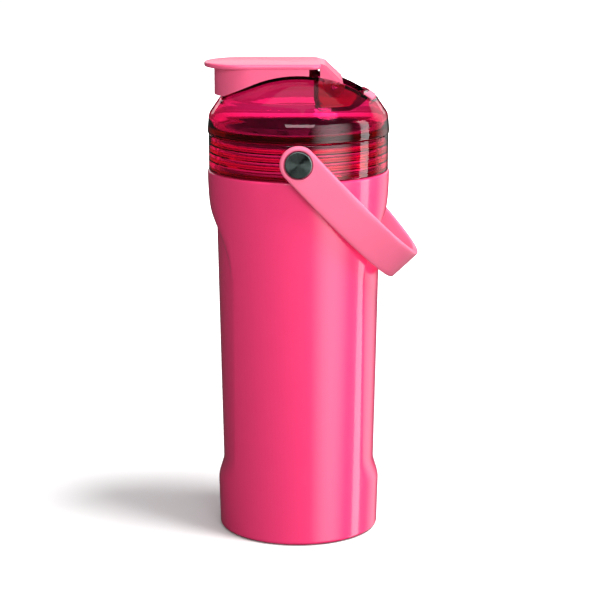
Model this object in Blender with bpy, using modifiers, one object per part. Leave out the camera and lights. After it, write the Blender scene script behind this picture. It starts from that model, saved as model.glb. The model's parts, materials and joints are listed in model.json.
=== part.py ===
"""Insulated protein shaker bottle with a clear screw lid, flip cap and bail handle.

Sizes are in millimetres and are turned into metres when meshes are made.
The bottle stands on the XY plane with its axis on Z. The spout points to -X,
the cap hinge is at +X and the handle pivots lie on the Y direction.
"""
from math import cos, pi, radians, sin, sqrt

import bmesh
import bpy
from mathutils import Matrix, Vector

MM = 0.001
GAP = 0.3              # assembly gap between touching pieces
STEPS = 40             # facets round the big turned pieces
SMALL_STEPS = 20       # facets round the small turned pieces

# Bottle body, a steel double wall
BODY_HEIGHT = 183.5    # top face of the shoulder lip
BODY_TOP_RADIUS = 45.0
BODY_BASE_RADIUS = 39.9
BODY_STRAIGHT = 5.5    # cylindrical band below the shoulder
BODY_WALL = 0.8
SHOULDER_FILLET = 1.0
FOOT_FILLET = 1.6
FOOT_CLEARANCE = 0.4   # the steel foot stands this far above the floor
FOOT_LIP = 2.8         # width of the foot's turned-in edge

# Side grips, two flat arches let into the body
GRIP_CURVE = 58.0      # radius of the grip panel round its own axis
GRIP_DEPTH_TOP = BODY_TOP_RADIUS - 4.45      # distance of the panel from the bottle axis at its top
GRIP_DEPTH_BOTTOM = BODY_BASE_RADIUS - 1.9
GRIP_TOP = BODY_HEIGHT - 26.5
GRIP_BOTTOM = 36.0
GRIP_HALF_WIDTH = 30.0
GRIP_TOP_ARCH = 27.0   # height of the arch at the top end
GRIP_BOTTOM_ARCH = 16.0
GRIP_TOP_DRAFT = 2.7   # rise of the end wall for each millimetre outwards
GRIP_BOTTOM_DRAFT = 3.8
GRIP_SIDE_DRAFT = 1.24

# Inner liner and its threaded neck
NECK_STEP = 6.4        # the neck is this much narrower than the body
NECK_RISE = 15.5       # height of the neck above the body
NECK_RADIUS = BODY_TOP_RADIUS - NECK_STEP
NECK_TOP = BODY_HEIGHT + NECK_RISE
LINER_WALL = 0.7
LINER_BASE_RADIUS = BODY_BASE_RADIUS - 4.3
LINER_BASE_BEND = 8.0
LINER_FLOOR = 9.0
LINER_TAPER_START = BODY_HEIGHT - 25.5
LINER_SPACE = 1.2         # vacuum space left inside the foot of the grip panels
LINER_WAIST_RADIUS = GRIP_DEPTH_BOTTOM - BODY_WALL - LINER_SPACE
THREAD_HEIGHT = 1.4
THREAD_COUNT = 3
THREAD_PITCH = (NECK_RISE - 3.5) / THREAD_COUNT
THREAD_HALF_WIDTH = THREAD_PITCH * 0.325
THREAD_FIRST = BODY_HEIGHT + 4.1

# Base pieces
BASE_PAD_RADIUS = BODY_BASE_RADIUS - 4.3
BASE_PAD_THICKNESS = 1.6
BOTTOM_CAP_THICKNESS = 0.8
SEAL_HOLE_RADIUS = 2.0
SEAL_FLANGE_RADIUS = 4.0

# Mouth gasket
GASKET_INNER_RADIUS = NECK_RADIUS - 1.3
GASKET_OUTER_RADIUS = NECK_RADIUS + 2.4
GASKET_THICKNESS = 3.2

# Lid collar
COLLAR_RADIUS = BODY_TOP_RADIUS - 0.6
COLLAR_WALL = 2.6
COLLAR_TOP = NECK_TOP + GASKET_THICKNESS - 0.6
COLLAR_THREAD_CLEARANCE = 0.4

# Lid dome
DOME_BAND = 9.6        # height of the upright wall
DOME_CHAMFER = 8.2
DOME_RISE = 12.3       # height of the crown above its rim
DOME_RADIUS = BODY_TOP_RADIUS - 0.14
DOME_SHOULDER_RADIUS = DOME_RADIUS - 0.66
DOME_SHOULDER = COLLAR_TOP + DOME_BAND       # height where the chamfer starts
DOME_RIM_RADIUS = DOME_SHOULDER_RADIUS - 5.6
DOME_RIM = DOME_SHOULDER + DOME_CHAMFER      # upper edge of the chamfer
DOME_CROWN = DOME_RIM + DOME_RISE
DOME_CROWN_FLAT = 8.0
DOME_CROWN_PULL = DOME_RIM_RADIUS - 15.6 # radius of the crown curve's control point
DOME_WALL = 2.2
LEDGE_RADIUS = NECK_RADIUS - 1.7 # throat in the ledge that presses the gasket
LEDGE_THICKNESS = 2.0

# Plinth under the cap, spout and spout plug
PLINTH_RAISE = 1.5
CAP_HALF_WIDTH = 19.2
PLINTH_HALF_WIDTH = CAP_HALF_WIDTH - 0.6
PLINTH_FRONT = 0.5 - DOME_RIM_RADIUS
SPOUT_X = 10.6 - DOME_RIM_RADIUS
SPOUT_BORE = 7.3
SPOUT_WALL = 1.8
SPOUT_TOP = DOME_CROWN - 0.1
PLUG_CLEARANCE = 0.5
PLUG_DEPTH = 3.2
PLUG_FLANGE = 1.5

# Hinge pocket in the rear of the dome
HINGE_X = 17.0
KNUCKLE_RADIUS = 4.9
POCKET_FRONT = HINGE_X - KNUCKLE_RADIUS - 2.5
POCKET_FLOOR = DOME_CROWN - 14.6
POCKET_FLOOR_END = HINGE_X + 7.0
POCKET_END = DOME_RIM_RADIUS - 4.6
POCKET_HALF_WIDTH = 14.0
POCKET_CORNER = 3.0
HINGE_Z = POCKET_FLOOR + KNUCKLE_RADIUS + 3.0
PIN_RADIUS = 1.25
PIN_CLEARANCE = 0.3

# Flip cap
CAP_PLATE = 2.4
CAP_TOP = DOME_CROWN + PLINTH_RAISE + 1.2 + CAP_PLATE
CAP_TIP = -DOME_RADIUS - 1.44
CAP_PLATE_END = POCKET_FRONT + 1.3
CAP_REAR_CORNER = 5.0
CAP_EDGE = 0.9
SKIRT_TIP = CAP_TIP + 4.9
SKIRT_INSET = 0.2      # skirt set back from the plate's side
SKIRT_END = POCKET_FRONT - 4.4
SKIRT_WALL = 1.8
SKIRT_BOTTOM = DOME_RIM + 1.5
ARM_START = POCKET_FRONT + 1.0
ARM_BREAK = ARM_START + 2.0      # where the top turns down to the hinge
ARM_HEEL_X = HINGE_X + KNUCKLE_RADIUS - 0.2
ARM_HEEL_Z = HINGE_Z + 3.1
ARM_CLEARANCE = 0.4

# Rear pad, let into the dome behind the pocket
PAD_INNER_RADIUS = POCKET_END + 0.6
PAD_OUTER_RADIUS = DOME_RIM_RADIUS - 0.4
PAD_HALF_WIDTH = POCKET_HALF_WIDTH - 0.2
PAD_THICKNESS = 1.6
PAD_PROUD = 0.5

# Handle, a flat bail strap
PIVOT_Z = (BODY_HEIGHT + COLLAR_TOP) / 2 + 0.45
HANDLE_CLEARANCE = 0.15 # between the hanging strap and the widest part of the body
WASHER_THICKNESS = 0.9
HANDLE_HALF_SPAN = BODY_TOP_RADIUS + WASHER_THICKNESS + 2 * GAP + 0.1
HANDLE_THICKNESS = 3.2
HANDLE_REACH = round(sqrt(CAP_TIP ** 2 + (CAP_TOP - PIVOT_Z) ** 2) + 11.47, 1)
HANDLE_WIDTH = 18.0
HANDLE_POWER = 2.2     # squareness of the bow
HANDLE_POINTS = 24
HANDLE_EDGE = 1.25

# Pivot hardware, the same at both ends
BOSS_RADIUS = 6.0
BOSS_FACE = BODY_TOP_RADIUS               # distance of the boss face from the bottle axis
BOSS_BACK = NECK_RADIUS + THREAD_HEIGHT + COLLAR_THREAD_CLEARANCE + 0.2
SCREW_RADIUS = 1.9
SCREW_CLEARANCE = 0.3
SCREW_HEAD_RADIUS = SCREW_RADIUS + 1.7
SCREW_HEAD = 0.6
HOLE_END = BOSS_BACK + 0.6
SCREW_END = HOLE_END + GAP
WASHER_RADIUS = BOSS_RADIUS - 0.4
BUSH_WALL = 1.2
BUSH_FLANGE_RADIUS = SCREW_RADIUS + SCREW_CLEARANCE + BUSH_WALL + 1.5
BUSH_FLANGE = 0.4
BUTTON_RADIUS = HANDLE_WIDTH / 2 - 2.5
COUNTERBORE_RADIUS = BUTTON_RADIUS + 0.6
COUNTERBORE_DEPTH = 1.9
BUTTON_FACE = 0.6
BUTTON_WALL = 1.2

# Agitator, a slotted dish in the throat of the lid
AGITATOR_WALL = 1.8
AGITATOR_RING_TOP = NECK_TOP + 5.5
AGITATOR_RING_HEIGHT = 8.5
AGITATOR_DEPTH = 17.0
AGITATOR_SLOTS = 10
SLOT_INNER = LEDGE_RADIUS * 0.3
SLOT_OUTER = LEDGE_RADIUS - 5.9
SLOT_WIDTH = 5.6

for old in list(bpy.data.objects):
    bpy.data.objects.remove(old)

parts = bpy.data.collections.new("protein_shaker_bottle")
cutters = bpy.data.collections.new("cutters")
bpy.context.scene.collection.children.link(parts)
bpy.context.scene.collection.children.link(cutters)


# ---------------------------------------------------------------- materials
def surface(name, red, green, blue, roughness, metallic=0.0, transmission=0.0):
    made = bpy.data.materials.new(name)
    made.use_nodes = True
    shader = made.node_tree.nodes["Principled BSDF"]
    shader.inputs["Base Color"].default_value = (red, green, blue, 1.0)
    shader.inputs["Roughness"].default_value = roughness
    shader.inputs["Metallic"].default_value = metallic
    shader.inputs["Transmission Weight"].default_value = transmission
    return made


coat_pink = surface("coat_pink", 0.98, 0.06, 0.18, 0.42)
strap_pink = surface("strap_pink", 0.98, 0.20, 0.34, 0.50)
cap_pink = surface("cap_pink", 0.97, 0.16, 0.32, 0.45)
tinted_clear = surface("tinted_clear", 0.80, 0.01, 0.08, 0.05, 0.0, 0.9)
steel = surface("steel", 0.62, 0.60, 0.58, 0.28, 1.0)
spun_steel = surface("spun_steel", 0.70, 0.72, 0.70, 0.22, 1.0)
seal_dark = surface("seal_dark", 0.05, 0.01, 0.02, 0.60)
silicone_clear = surface("silicone_clear", 0.75, 0.72, 0.72, 0.55)
pad_dark = surface("pad_dark", 0.05, 0.04, 0.045, 0.70)
nylon = surface("nylon", 0.10, 0.10, 0.11, 0.55)


# ---------------------------------------------------------------- helpers
def finish(obj, material=None, tool=False):
    (cutters if tool else parts).objects.link(obj)
    if tool:
        obj.hide_render = True
        obj.display_type = "WIRE"
    else:
        obj.data.materials.append(material)
        if len(obj.data.polygons):
            obj.data.shade_smooth()
            obj.data.set_sharp_from_angle(angle=radians(35))
    return obj


def turned(name, profile, steps, material=None, ring=False, tool=False):
    """Turn a profile of (radius, height) points about Z."""
    mesh = bpy.data.meshes.new(name)
    count = len(profile)
    edges = [(i, i + 1) for i in range(count - 1)]
    if ring:
        edges.append((count - 1, 0))
    mesh.from_pydata([(r * MM, 0.0, z * MM) for r, z in profile], edges, [])
    obj = bpy.data.objects.new(name, mesh)
    screw = obj.modifiers.new("turn", "SCREW")
    screw.axis = "Z"
    screw.steps = steps
    screw.render_steps = steps
    screw.use_merge_vertices = True
    screw.merge_threshold = 0.00001
    screw.use_smooth_shade = True
    return finish(obj, material, tool)


def arc(centre_a, centre_b, radius, start, end, count):
    """Points on a circle arc, angles in degrees."""
    turns = [radians(start + (end - start) * i / count) for i in range(count + 1)]
    return [(centre_a + radius * cos(t), centre_b + radius * sin(t)) for t in turns]


def flat_piece(name, outline, low, high, plane="XY", material=None, tool=False):
    """A flat outline given a thickness from low to high across its plane."""
    curve = bpy.data.curves.new(name + "_outline", "CURVE")
    curve.dimensions = "2D"
    curve.fill_mode = "BOTH"
    curve.extrude = (high - low) * MM / 2
    line = curve.splines.new("POLY")
    line.points.add(len(outline) - 1)
    for point, (a, b) in zip(line.points, outline):
        point.co = (a * MM, b * MM, 0.0, 1.0)
    line.use_cyclic_u = True
    holder = bpy.data.objects.new(name + "_outline", curve)
    bpy.context.scene.collection.objects.link(holder)
    ready = holder.evaluated_get(bpy.context.evaluated_depsgraph_get())
    mesh = bpy.data.meshes.new_from_object(ready)
    mesh.name = name
    bpy.data.objects.remove(holder)
    middle = (low + high) / 2 * MM
    if plane == "XZ":
        mesh.transform(Matrix.Translation((0, middle, 0)) @ Matrix.Rotation(pi / 2, 4, "X"))
    else:
        mesh.transform(Matrix.Translation((0, 0, middle)))
    shape = bmesh.new()
    shape.from_mesh(mesh)
    bmesh.ops.remove_doubles(shape, verts=shape.verts, dist=0.00001)
    bmesh.ops.dissolve_limit(shape, angle_limit=radians(0.5), verts=shape.verts, edges=shape.edges)
    bmesh.ops.recalc_face_normals(shape, faces=shape.faces)
    shape.to_mesh(mesh)
    shape.free()
    return finish(bpy.data.objects.new(name, mesh), material, tool)


def rod(name, radius, low, high, steps, material=None, tool=False, top_radius=None):
    """A cylinder or cone on Z from low to high, its origin at the middle."""
    mesh = bpy.data.meshes.new(name)
    shape = bmesh.new()
    bmesh.ops.create_cone(shape, cap_ends=True, segments=steps, radius1=radius * MM,
                          radius2=(radius if top_radius is None else top_radius) * MM,
                          depth=(high - low) * MM, matrix=Matrix.Rotation(pi / steps, 4, "Z"))
    shape.to_mesh(mesh)
    shape.free()
    obj = bpy.data.objects.new(name, mesh)
    obj.location = (0, 0, (low + high) / 2 * MM)
    return finish(obj, material, tool)


def block(name, low, high, material=None, tool=False):
    mesh = bpy.data.meshes.new(name)
    shape = bmesh.new()
    bmesh.ops.create_cube(shape, size=1.0)
    shape.to_mesh(mesh)
    shape.free()
    size = [b - a for a, b in zip(low, high)]
    middle = [(a + b) / 2 * MM for a, b in zip(low, high)]
    mesh.transform(Matrix.Translation(middle) @ Matrix.Diagonal((*[s * MM for s in size], 1.0)))
    return finish(bpy.data.objects.new(name, mesh), material, tool)


def combine(obj, tool, operation="DIFFERENCE"):
    change = obj.modifiers.new(operation.lower() + "_" + tool.name, "BOOLEAN")
    change.operation = operation
    change.object = tool
    change.solver = "EXACT"
    return obj


def lay_on_y(obj, side):
    """Point a piece turned about Z outwards along Y, side -1 or +1."""
    obj.rotation_euler = (-side * pi / 2, 0.0, 0.0)
    obj.location = (0.0, 0.0, PIVOT_Z * MM)
    return obj


# ---------------------------------------------------------------- body
body_band = BODY_HEIGHT - BODY_STRAIGHT


def body_radius(z, inset=0.0):
    share = min(max(z / body_band, 0.0), 1.0)
    return BODY_BASE_RADIUS + (BODY_TOP_RADIUS - BODY_BASE_RADIUS) * share - inset


foot_radius = body_radius(FOOT_CLEARANCE + FOOT_FILLET)
body_outline = [(0, BODY_HEIGHT)]
body_outline += arc(BODY_TOP_RADIUS - SHOULDER_FILLET, BODY_HEIGHT - SHOULDER_FILLET,
                    SHOULDER_FILLET, 90, 0, 3)
body_outline += [(BODY_TOP_RADIUS, body_band)]
body_outline += arc(foot_radius - FOOT_FILLET, FOOT_CLEARANCE + FOOT_FILLET, FOOT_FILLET, 0, -90, 4)
body_outline += [(0, FOOT_CLEARANCE)]
outer_shell = turned("outer_shell", body_outline, STEPS, coat_pink)

foot_hole = foot_radius - FOOT_FILLET - FOOT_LIP
lip_hole = NECK_RADIUS + GAP
core_foot = FOOT_CLEARANCE + BODY_WALL
core_outline = [(0, BODY_HEIGHT + 6), (lip_hole, BODY_HEIGHT + 6), (lip_hole, BODY_HEIGHT - BODY_WALL)]
core_outline += [(BODY_TOP_RADIUS - BODY_WALL - 0.4, BODY_HEIGHT - BODY_WALL)]
core_outline += [(BODY_TOP_RADIUS - BODY_WALL, BODY_HEIGHT - BODY_WALL - 0.4)]
core_outline += [(BODY_TOP_RADIUS - BODY_WALL, body_band)]
core_outline += [(foot_radius - BODY_WALL, FOOT_CLEARANCE + FOOT_FILLET)]
core_outline += [(foot_radius - FOOT_FILLET, core_foot), (foot_hole, core_foot)]
core_outline += [(foot_hole, FOOT_CLEARANCE - 4), (0, FOOT_CLEARANCE - 4)]
shell_core = turned("shell_core", core_outline, STEPS, tool=True)


def grip_outline(reach):
    """Arch outline of a grip at one distance from the bottle axis."""
    width = GRIP_HALF_WIDTH + (reach - GRIP_DEPTH_TOP) * GRIP_SIDE_DRAFT
    top_arch = GRIP_TOP_ARCH + (reach - GRIP_DEPTH_TOP) * GRIP_TOP_DRAFT
    low_arch = GRIP_BOTTOM_ARCH + (reach - GRIP_DEPTH_BOTTOM) * GRIP_BOTTOM_DRAFT
    top_centre = GRIP_TOP - GRIP_TOP_ARCH
    low_centre = GRIP_BOTTOM + GRIP_BOTTOM_ARCH
    upper = [(width * cos(a), top_centre + top_arch * sin(a)) for a, _ in arc_turns(0, 180, 12)]
    lower = [(width * cos(a), low_centre + low_arch * sin(a)) for a, _ in arc_turns(180, 360, 12)]
    return [(reach, y, z) for y, z in upper + lower]


def arc_turns(start, end, count):
    return [(radians(start + (end - start) * i / count), i) for i in range(count + 1)]


def grip_tool(name, inset, side):
    """What a side grip takes away: a drafted arch outside the grip panel."""
    near = grip_outline(min(GRIP_DEPTH_TOP, GRIP_DEPTH_BOTTOM) - 4.0)
    far = grip_outline(max(BODY_TOP_RADIUS, BODY_BASE_RADIUS) + 2.0)
    shape = bmesh.new()
    inner = [shape.verts.new(Vector(p) * MM) for p in near]
    outer = [shape.verts.new(Vector(p) * MM) for p in far]
    shape.faces.new(inner)
    shape.faces.new(outer)
    count = len(near)
    for i in range(count):
        j = (i + 1) % count
        shape.faces.new((inner[i], inner[j], outer[j], outer[i]))
    bmesh.ops.recalc_face_normals(shape, faces=shape.faces)
    mesh = bpy.data.meshes.new(name)
    shape.to_mesh(mesh)
    shape.free()
    tool = finish(bpy.data.objects.new(name, mesh), tool=True)

    slope = (GRIP_DEPTH_TOP - GRIP_DEPTH_BOTTOM) / (GRIP_TOP - GRIP_BOTTOM)
    shift = GRIP_CURVE - (GRIP_DEPTH_TOP + GRIP_DEPTH_BOTTOM) / 2
    low_radius = shift + GRIP_DEPTH_BOTTOM - (GRIP_BOTTOM + 10) * slope
    high_radius = shift + GRIP_DEPTH_TOP + (BODY_HEIGHT + 10 - GRIP_TOP) * slope
    panel = rod(name + "_panel", low_radius, -10, BODY_HEIGHT + 10, 80, tool=True,
                top_radius=high_radius)
    panel.location.x = side * (-shift - inset) * MM
    tool.location.x = side * -inset * MM
    if side < 0:
        tool.rotation_euler = (0, 0, pi)
    combine(tool, panel)
    return tool


for side, label in ((1, "right"), (-1, "left")):
    combine(shell_core, grip_tool("core_grip_" + label, BODY_WALL, side))
    combine(outer_shell, grip_tool("grip_" + label, 0.0, side))
combine(outer_shell, shell_core)

# ---------------------------------------------------------------- liner
liner_inner = NECK_RADIUS - LINER_WALL
thread_heights = [THREAD_FIRST + THREAD_PITCH * i for i in range(THREAD_COUNT)]
liner_outline = [(0, LINER_FLOOR + LINER_WALL)]
liner_outline += arc(LINER_BASE_RADIUS - LINER_WALL - LINER_BASE_BEND,
                     LINER_FLOOR + LINER_WALL + LINER_BASE_BEND, LINER_BASE_BEND, -90, 0, 5)
liner_outline += [(LINER_WAIST_RADIUS - LINER_WALL, GRIP_BOTTOM)]
liner_outline += [(liner_inner, LINER_TAPER_START), (liner_inner, NECK_TOP - 0.3)]
liner_outline += [(liner_inner + 0.2, NECK_TOP), (NECK_RADIUS - 0.2, NECK_TOP), (NECK_RADIUS, NECK_TOP - 0.3)]
for height in reversed(thread_heights):
    liner_outline += [(NECK_RADIUS, height + THREAD_HALF_WIDTH),
                      (NECK_RADIUS + THREAD_HEIGHT, height + THREAD_HALF_WIDTH / 3),
                      (NECK_RADIUS + THREAD_HEIGHT, height - THREAD_HALF_WIDTH / 3),
                      (NECK_RADIUS, height - THREAD_HALF_WIDTH)]
liner_outline += [(NECK_RADIUS, LINER_TAPER_START), (LINER_WAIST_RADIUS, GRIP_BOTTOM)]
liner_outline += arc(LINER_BASE_RADIUS - LINER_BASE_BEND, LINER_FLOOR + LINER_BASE_BEND,
                     LINER_BASE_BEND, 0, -90, 5)
liner_outline += [(0, LINER_FLOOR)]
inner_liner = turned("inner_liner", liner_outline, STEPS, steel)

# ---------------------------------------------------------------- base
cap_low = BASE_PAD_THICKNESS + GAP
cap_high = cap_low + BOTTOM_CAP_THICKNESS
cap_radius = foot_hole - GAP
bottom_cap = turned("bottom_cap", [(SEAL_HOLE_RADIUS, cap_high), (cap_radius, cap_high),
                                   (cap_radius, cap_low), (SEAL_HOLE_RADIUS, cap_low)],
                    STEPS, steel, ring=True)
seal_low = cap_high + GAP
vacuum_seal = turned("vacuum_seal", [(0, seal_low + 1.0), (SEAL_FLANGE_RADIUS, seal_low + 1.0),
                                     (SEAL_FLANGE_RADIUS, seal_low),
                                     (SEAL_HOLE_RADIUS - GAP, seal_low),
                                     (SEAL_HOLE_RADIUS - GAP, cap_low), (0, cap_low)],
                     SMALL_STEPS, steel)
pad_radius = min(BASE_PAD_RADIUS, cap_radius - GAP)
base_pad = turned("base_pad", [(0, BASE_PAD_THICKNESS), (pad_radius, BASE_PAD_THICKNESS),
                               (pad_radius, 0.4), (pad_radius - 0.4, 0.0), (0, 0)],
                  STEPS, pad_dark)

# ---------------------------------------------------------------- collar
collar_bottom = BODY_HEIGHT + GAP
collar_inner = COLLAR_RADIUS - COLLAR_WALL
ridge_crest = NECK_RADIUS + THREAD_HEIGHT + COLLAR_THREAD_CLEARANCE
collar_outline = [(collar_inner, COLLAR_TOP), (COLLAR_RADIUS - 0.4, COLLAR_TOP),
                  (COLLAR_RADIUS, COLLAR_TOP - 0.4), (COLLAR_RADIUS, collar_bottom + 0.4),
                  (COLLAR_RADIUS - 0.4, collar_bottom), (ridge_crest, collar_bottom),
                  (ridge_crest, collar_bottom + 1.0), (collar_inner, collar_bottom + 2.0)]
for height in thread_heights:
    ridge = height + THREAD_PITCH / 2
    collar_outline += [(collar_inner, ridge - THREAD_HALF_WIDTH),
                       (ridge_crest, ridge - THREAD_HALF_WIDTH / 3),
                       (ridge_crest, ridge + THREAD_HALF_WIDTH / 3),
                       (collar_inner, ridge + THREAD_HALF_WIDTH)]
lid_collar = turned("lid_collar", collar_outline, STEPS, tinted_clear, ring=True)
for side, label in ((-1, "front"), (1, "rear")):
    boss = rod("boss_" + label, BOSS_RADIUS, BOSS_BACK, BOSS_FACE, 36, tool=True)
    hole = rod("boss_hole_" + label, SCREW_RADIUS + SCREW_CLEARANCE, HOLE_END, BOSS_FACE + 2,
               SMALL_STEPS, tool=True)
    for piece, middle in ((boss, (BOSS_BACK + BOSS_FACE) / 2), (hole, (HOLE_END + BOSS_FACE + 2) / 2)):
        piece.rotation_euler = (pi / 2, 0, 0)
        piece.location = (0, side * middle * MM, PIVOT_Z * MM)
    combine(lid_collar, boss, "UNION")
    combine(lid_collar, hole)

# ---------------------------------------------------------------- dome
dome_bottom = COLLAR_TOP + GAP
crown_start = (DOME_CROWN_FLAT, DOME_CROWN)
crown_pull = (DOME_CROWN_PULL, DOME_CROWN - 0.7)
crown_end = (DOME_RIM_RADIUS, DOME_RIM)


def crown(inset, raised, count=6):
    """The crown's curve from its flat middle to the chamfer."""
    points = []
    for i in range(count + 1):
        t = i / count
        mix = [(1 - t) ** 2 * a + 2 * t * (1 - t) * b + t * t * c
               for a, b, c in zip(crown_start, crown_pull, crown_end)]
        slope = [2 * (1 - t) * (b - a) + 2 * t * (c - b)
                 for a, b, c in zip(crown_start, crown_pull, crown_end)]
        length = sqrt(slope[0] ** 2 + slope[1] ** 2)
        points.append((mix[0] + slope[1] / length * inset, mix[1] - slope[0] / length * inset + raised))
    return points


def dome_outline(raised, bottom):
    points = [(0, DOME_CROWN + raised)] + crown(0.0, raised)
    points += [(DOME_SHOULDER_RADIUS - 0.25, DOME_SHOULDER + raised + 0.4)]
    points += [(DOME_SHOULDER_RADIUS + 0.05, DOME_SHOULDER + raised - 0.6)]
    points += [(DOME_RADIUS, bottom + 2.0), (DOME_RADIUS, bottom + 0.3), (DOME_RADIUS - 0.3, bottom)]
    return points + [(0, bottom)]


lid_dome = turned("lid_dome", dome_outline(0.0, dome_bottom), STEPS, tinted_clear)

ledge_bottom = NECK_TOP + GAP + GASKET_THICKNESS + GAP
ledge_top = ledge_bottom + LEDGE_THICKNESS
inner_wall = DOME_SHOULDER_RADIUS - DOME_WALL
hollow = [(0, DOME_CROWN - DOME_WALL)] + crown(DOME_WALL, 0.0)
hollow += [(inner_wall, DOME_SHOULDER - DOME_WALL / 2), (inner_wall, ledge_top), (LEDGE_RADIUS, ledge_top)]
hollow += [(LEDGE_RADIUS, ledge_bottom), (GASKET_OUTER_RADIUS + GAP, ledge_bottom)]
hollow += [(GASKET_OUTER_RADIUS + GAP, dome_bottom - 3), (0, dome_bottom - 3)]
dome_hollow = turned("dome_hollow", hollow, STEPS, tool=True)


def pocket_outline(grow):
    """Side view of the hinge pocket, grown outwards for its walls."""
    corner = POCKET_CORNER + grow
    points = [(POCKET_FRONT - grow, CAP_TOP + 10)]
    points += arc(POCKET_FRONT - grow + corner, POCKET_FLOOR - grow + corner, corner, 180, 270, 5)
    points += [(POCKET_FLOOR_END + grow / 4, POCKET_FLOOR - grow)]
    points += [(POCKET_END + grow / 4, pocket_brow - grow), (POCKET_END + grow / 4, CAP_TOP + 10)]
    return points


def crown_height(radius):
    """Height of the crown at a radius, by walking along its curve."""
    line = crown(0.0, 0.0, 40)
    for (r0, z0), (r1, z1) in zip(line, line[1:]):
        if r0 <= radius <= r1:
            return z0 + (z1 - z0) * (radius - r0) / (r1 - r0)
    return DOME_CROWN if radius < crown_start[0] else DOME_RIM


pocket_brow = crown_height(POCKET_END) - 0.6
pocket_case = flat_piece("pocket_case", pocket_outline(DOME_WALL), -POCKET_HALF_WIDTH - DOME_WALL,
                         POCKET_HALF_WIDTH + DOME_WALL, "XZ", tool=True)
combine(dome_hollow, pocket_case)

plinth_centre = PLINTH_FRONT + PLINTH_HALF_WIDTH
plinth_outline = [(POCKET_FRONT, -PLINTH_HALF_WIDTH), (POCKET_FRONT, PLINTH_HALF_WIDTH)]
plinth_outline += arc(plinth_centre, 0, PLINTH_HALF_WIDTH, 90, 270, 28)
plinth = flat_piece("plinth", plinth_outline, DOME_SHOULDER, CAP_TOP + 4, tool=True)
raised_crown = turned("raised_crown", dome_outline(PLINTH_RAISE, dome_bottom), STEPS, tool=True)
combine(plinth, raised_crown, "INTERSECT")
combine(lid_dome, plinth, "UNION")

spout = rod("spout", SPOUT_BORE + SPOUT_WALL, DOME_RIM, SPOUT_TOP, 40, tool=True)
spout.location.x = SPOUT_X * MM
combine(lid_dome, spout, "UNION")
combine(lid_dome, dome_hollow)
pocket_cut = flat_piece("pocket_cut", pocket_outline(0.0), -POCKET_HALF_WIDTH, POCKET_HALF_WIDTH,
                        "XZ", tool=True)
combine(lid_dome, pocket_cut)
spout_bore = rod("spout_bore", SPOUT_BORE, DOME_SHOULDER, CAP_TOP + 4, 40, tool=True)
spout_bore.location.x = SPOUT_X * MM
combine(lid_dome, spout_bore)


def cross_rod(name, radius, x, z, half_length, steps, material=None, tool=False):
    """A rod along Y, its origin on its own middle."""
    made = rod(name, radius, -half_length, half_length, steps, material, tool)
    made.rotation_euler = (pi / 2, 0, 0)
    made.location = (x * MM, 0, z * MM)
    return made


pin_half = POCKET_HALF_WIDTH + DOME_WALL
pin_bore = cross_rod("pin_bore", PIN_RADIUS + PIN_CLEARANCE, HINGE_X, HINGE_Z, pin_half + 2, 20, tool=True)
combine(lid_dome, pin_bore)
hinge_pin = cross_rod("hinge_pin", PIN_RADIUS, HINGE_X, HINGE_Z, pin_half - 0.2, 20, steel)


def pad_outline(grow, thickness):
    """Section of the rear pad, which follows the crown's slope."""
    inner = PAD_INNER_RADIUS - grow
    outer = PAD_OUTER_RADIUS + grow
    top_inner = crown_height(inner) + PAD_PROUD
    top_outer = crown_height(min(outer, DOME_RIM_RADIUS)) + PAD_PROUD
    return [(inner, top_inner), (outer, top_outer), (outer, top_outer - thickness),
            (inner, top_inner - thickness)]


rear_pad = turned("rear_pad", pad_outline(0.0, PAD_THICKNESS), STEPS * 2, cap_pink, ring=True)
pad_limit = block("pad_limit", (0, -PAD_HALF_WIDTH, DOME_SHOULDER), (60, PAD_HALF_WIDTH, CAP_TOP), tool=True)
combine(rear_pad, pad_limit, "INTERSECT")
pad_seat = turned("pad_seat", pad_outline(GAP, PAD_THICKNESS + GAP), STEPS * 2, ring=True, tool=True)
seat_limit = block("seat_limit", (0, -PAD_HALF_WIDTH - GAP, DOME_SHOULDER),
                   (60, PAD_HALF_WIDTH + GAP, CAP_TOP), tool=True)
combine(pad_seat, seat_limit, "INTERSECT")
combine(lid_dome, pad_seat)

gasket_low = NECK_TOP + GAP
mouth_gasket = turned("mouth_gasket",
                      [(GASKET_INNER_RADIUS, gasket_low + GASKET_THICKNESS),
                       (GASKET_OUTER_RADIUS, gasket_low + GASKET_THICKNESS),
                       (GASKET_OUTER_RADIUS, gasket_low + 0.4), (GASKET_OUTER_RADIUS - 0.4, gasket_low),
                       (GASKET_INNER_RADIUS, gasket_low)], STEPS, seal_dark, ring=True)

# ---------------------------------------------------------------- flip cap
plate_bottom = CAP_TOP - CAP_PLATE
tip_centre = CAP_TIP + CAP_HALF_WIDTH
corner_x = CAP_PLATE_END - CAP_REAR_CORNER
corner_y = CAP_HALF_WIDTH - CAP_REAR_CORNER
plate_outline = arc(corner_x, corner_y, CAP_REAR_CORNER, 0, 90, 5)
plate_outline += arc(tip_centre, 0, CAP_HALF_WIDTH, 90, 270, 32)
plate_outline += arc(corner_x, -corner_y, CAP_REAR_CORNER, -90, 0, 5)
flip_cap = flat_piece("flip_cap", plate_outline, plate_bottom, CAP_TOP, material=cap_pink)
edge = flip_cap.modifiers.new("edge", "BEVEL")
edge.width = CAP_EDGE * MM
edge.segments = 2
edge.limit_method = "ANGLE"
edge.angle_limit = radians(50)

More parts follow.
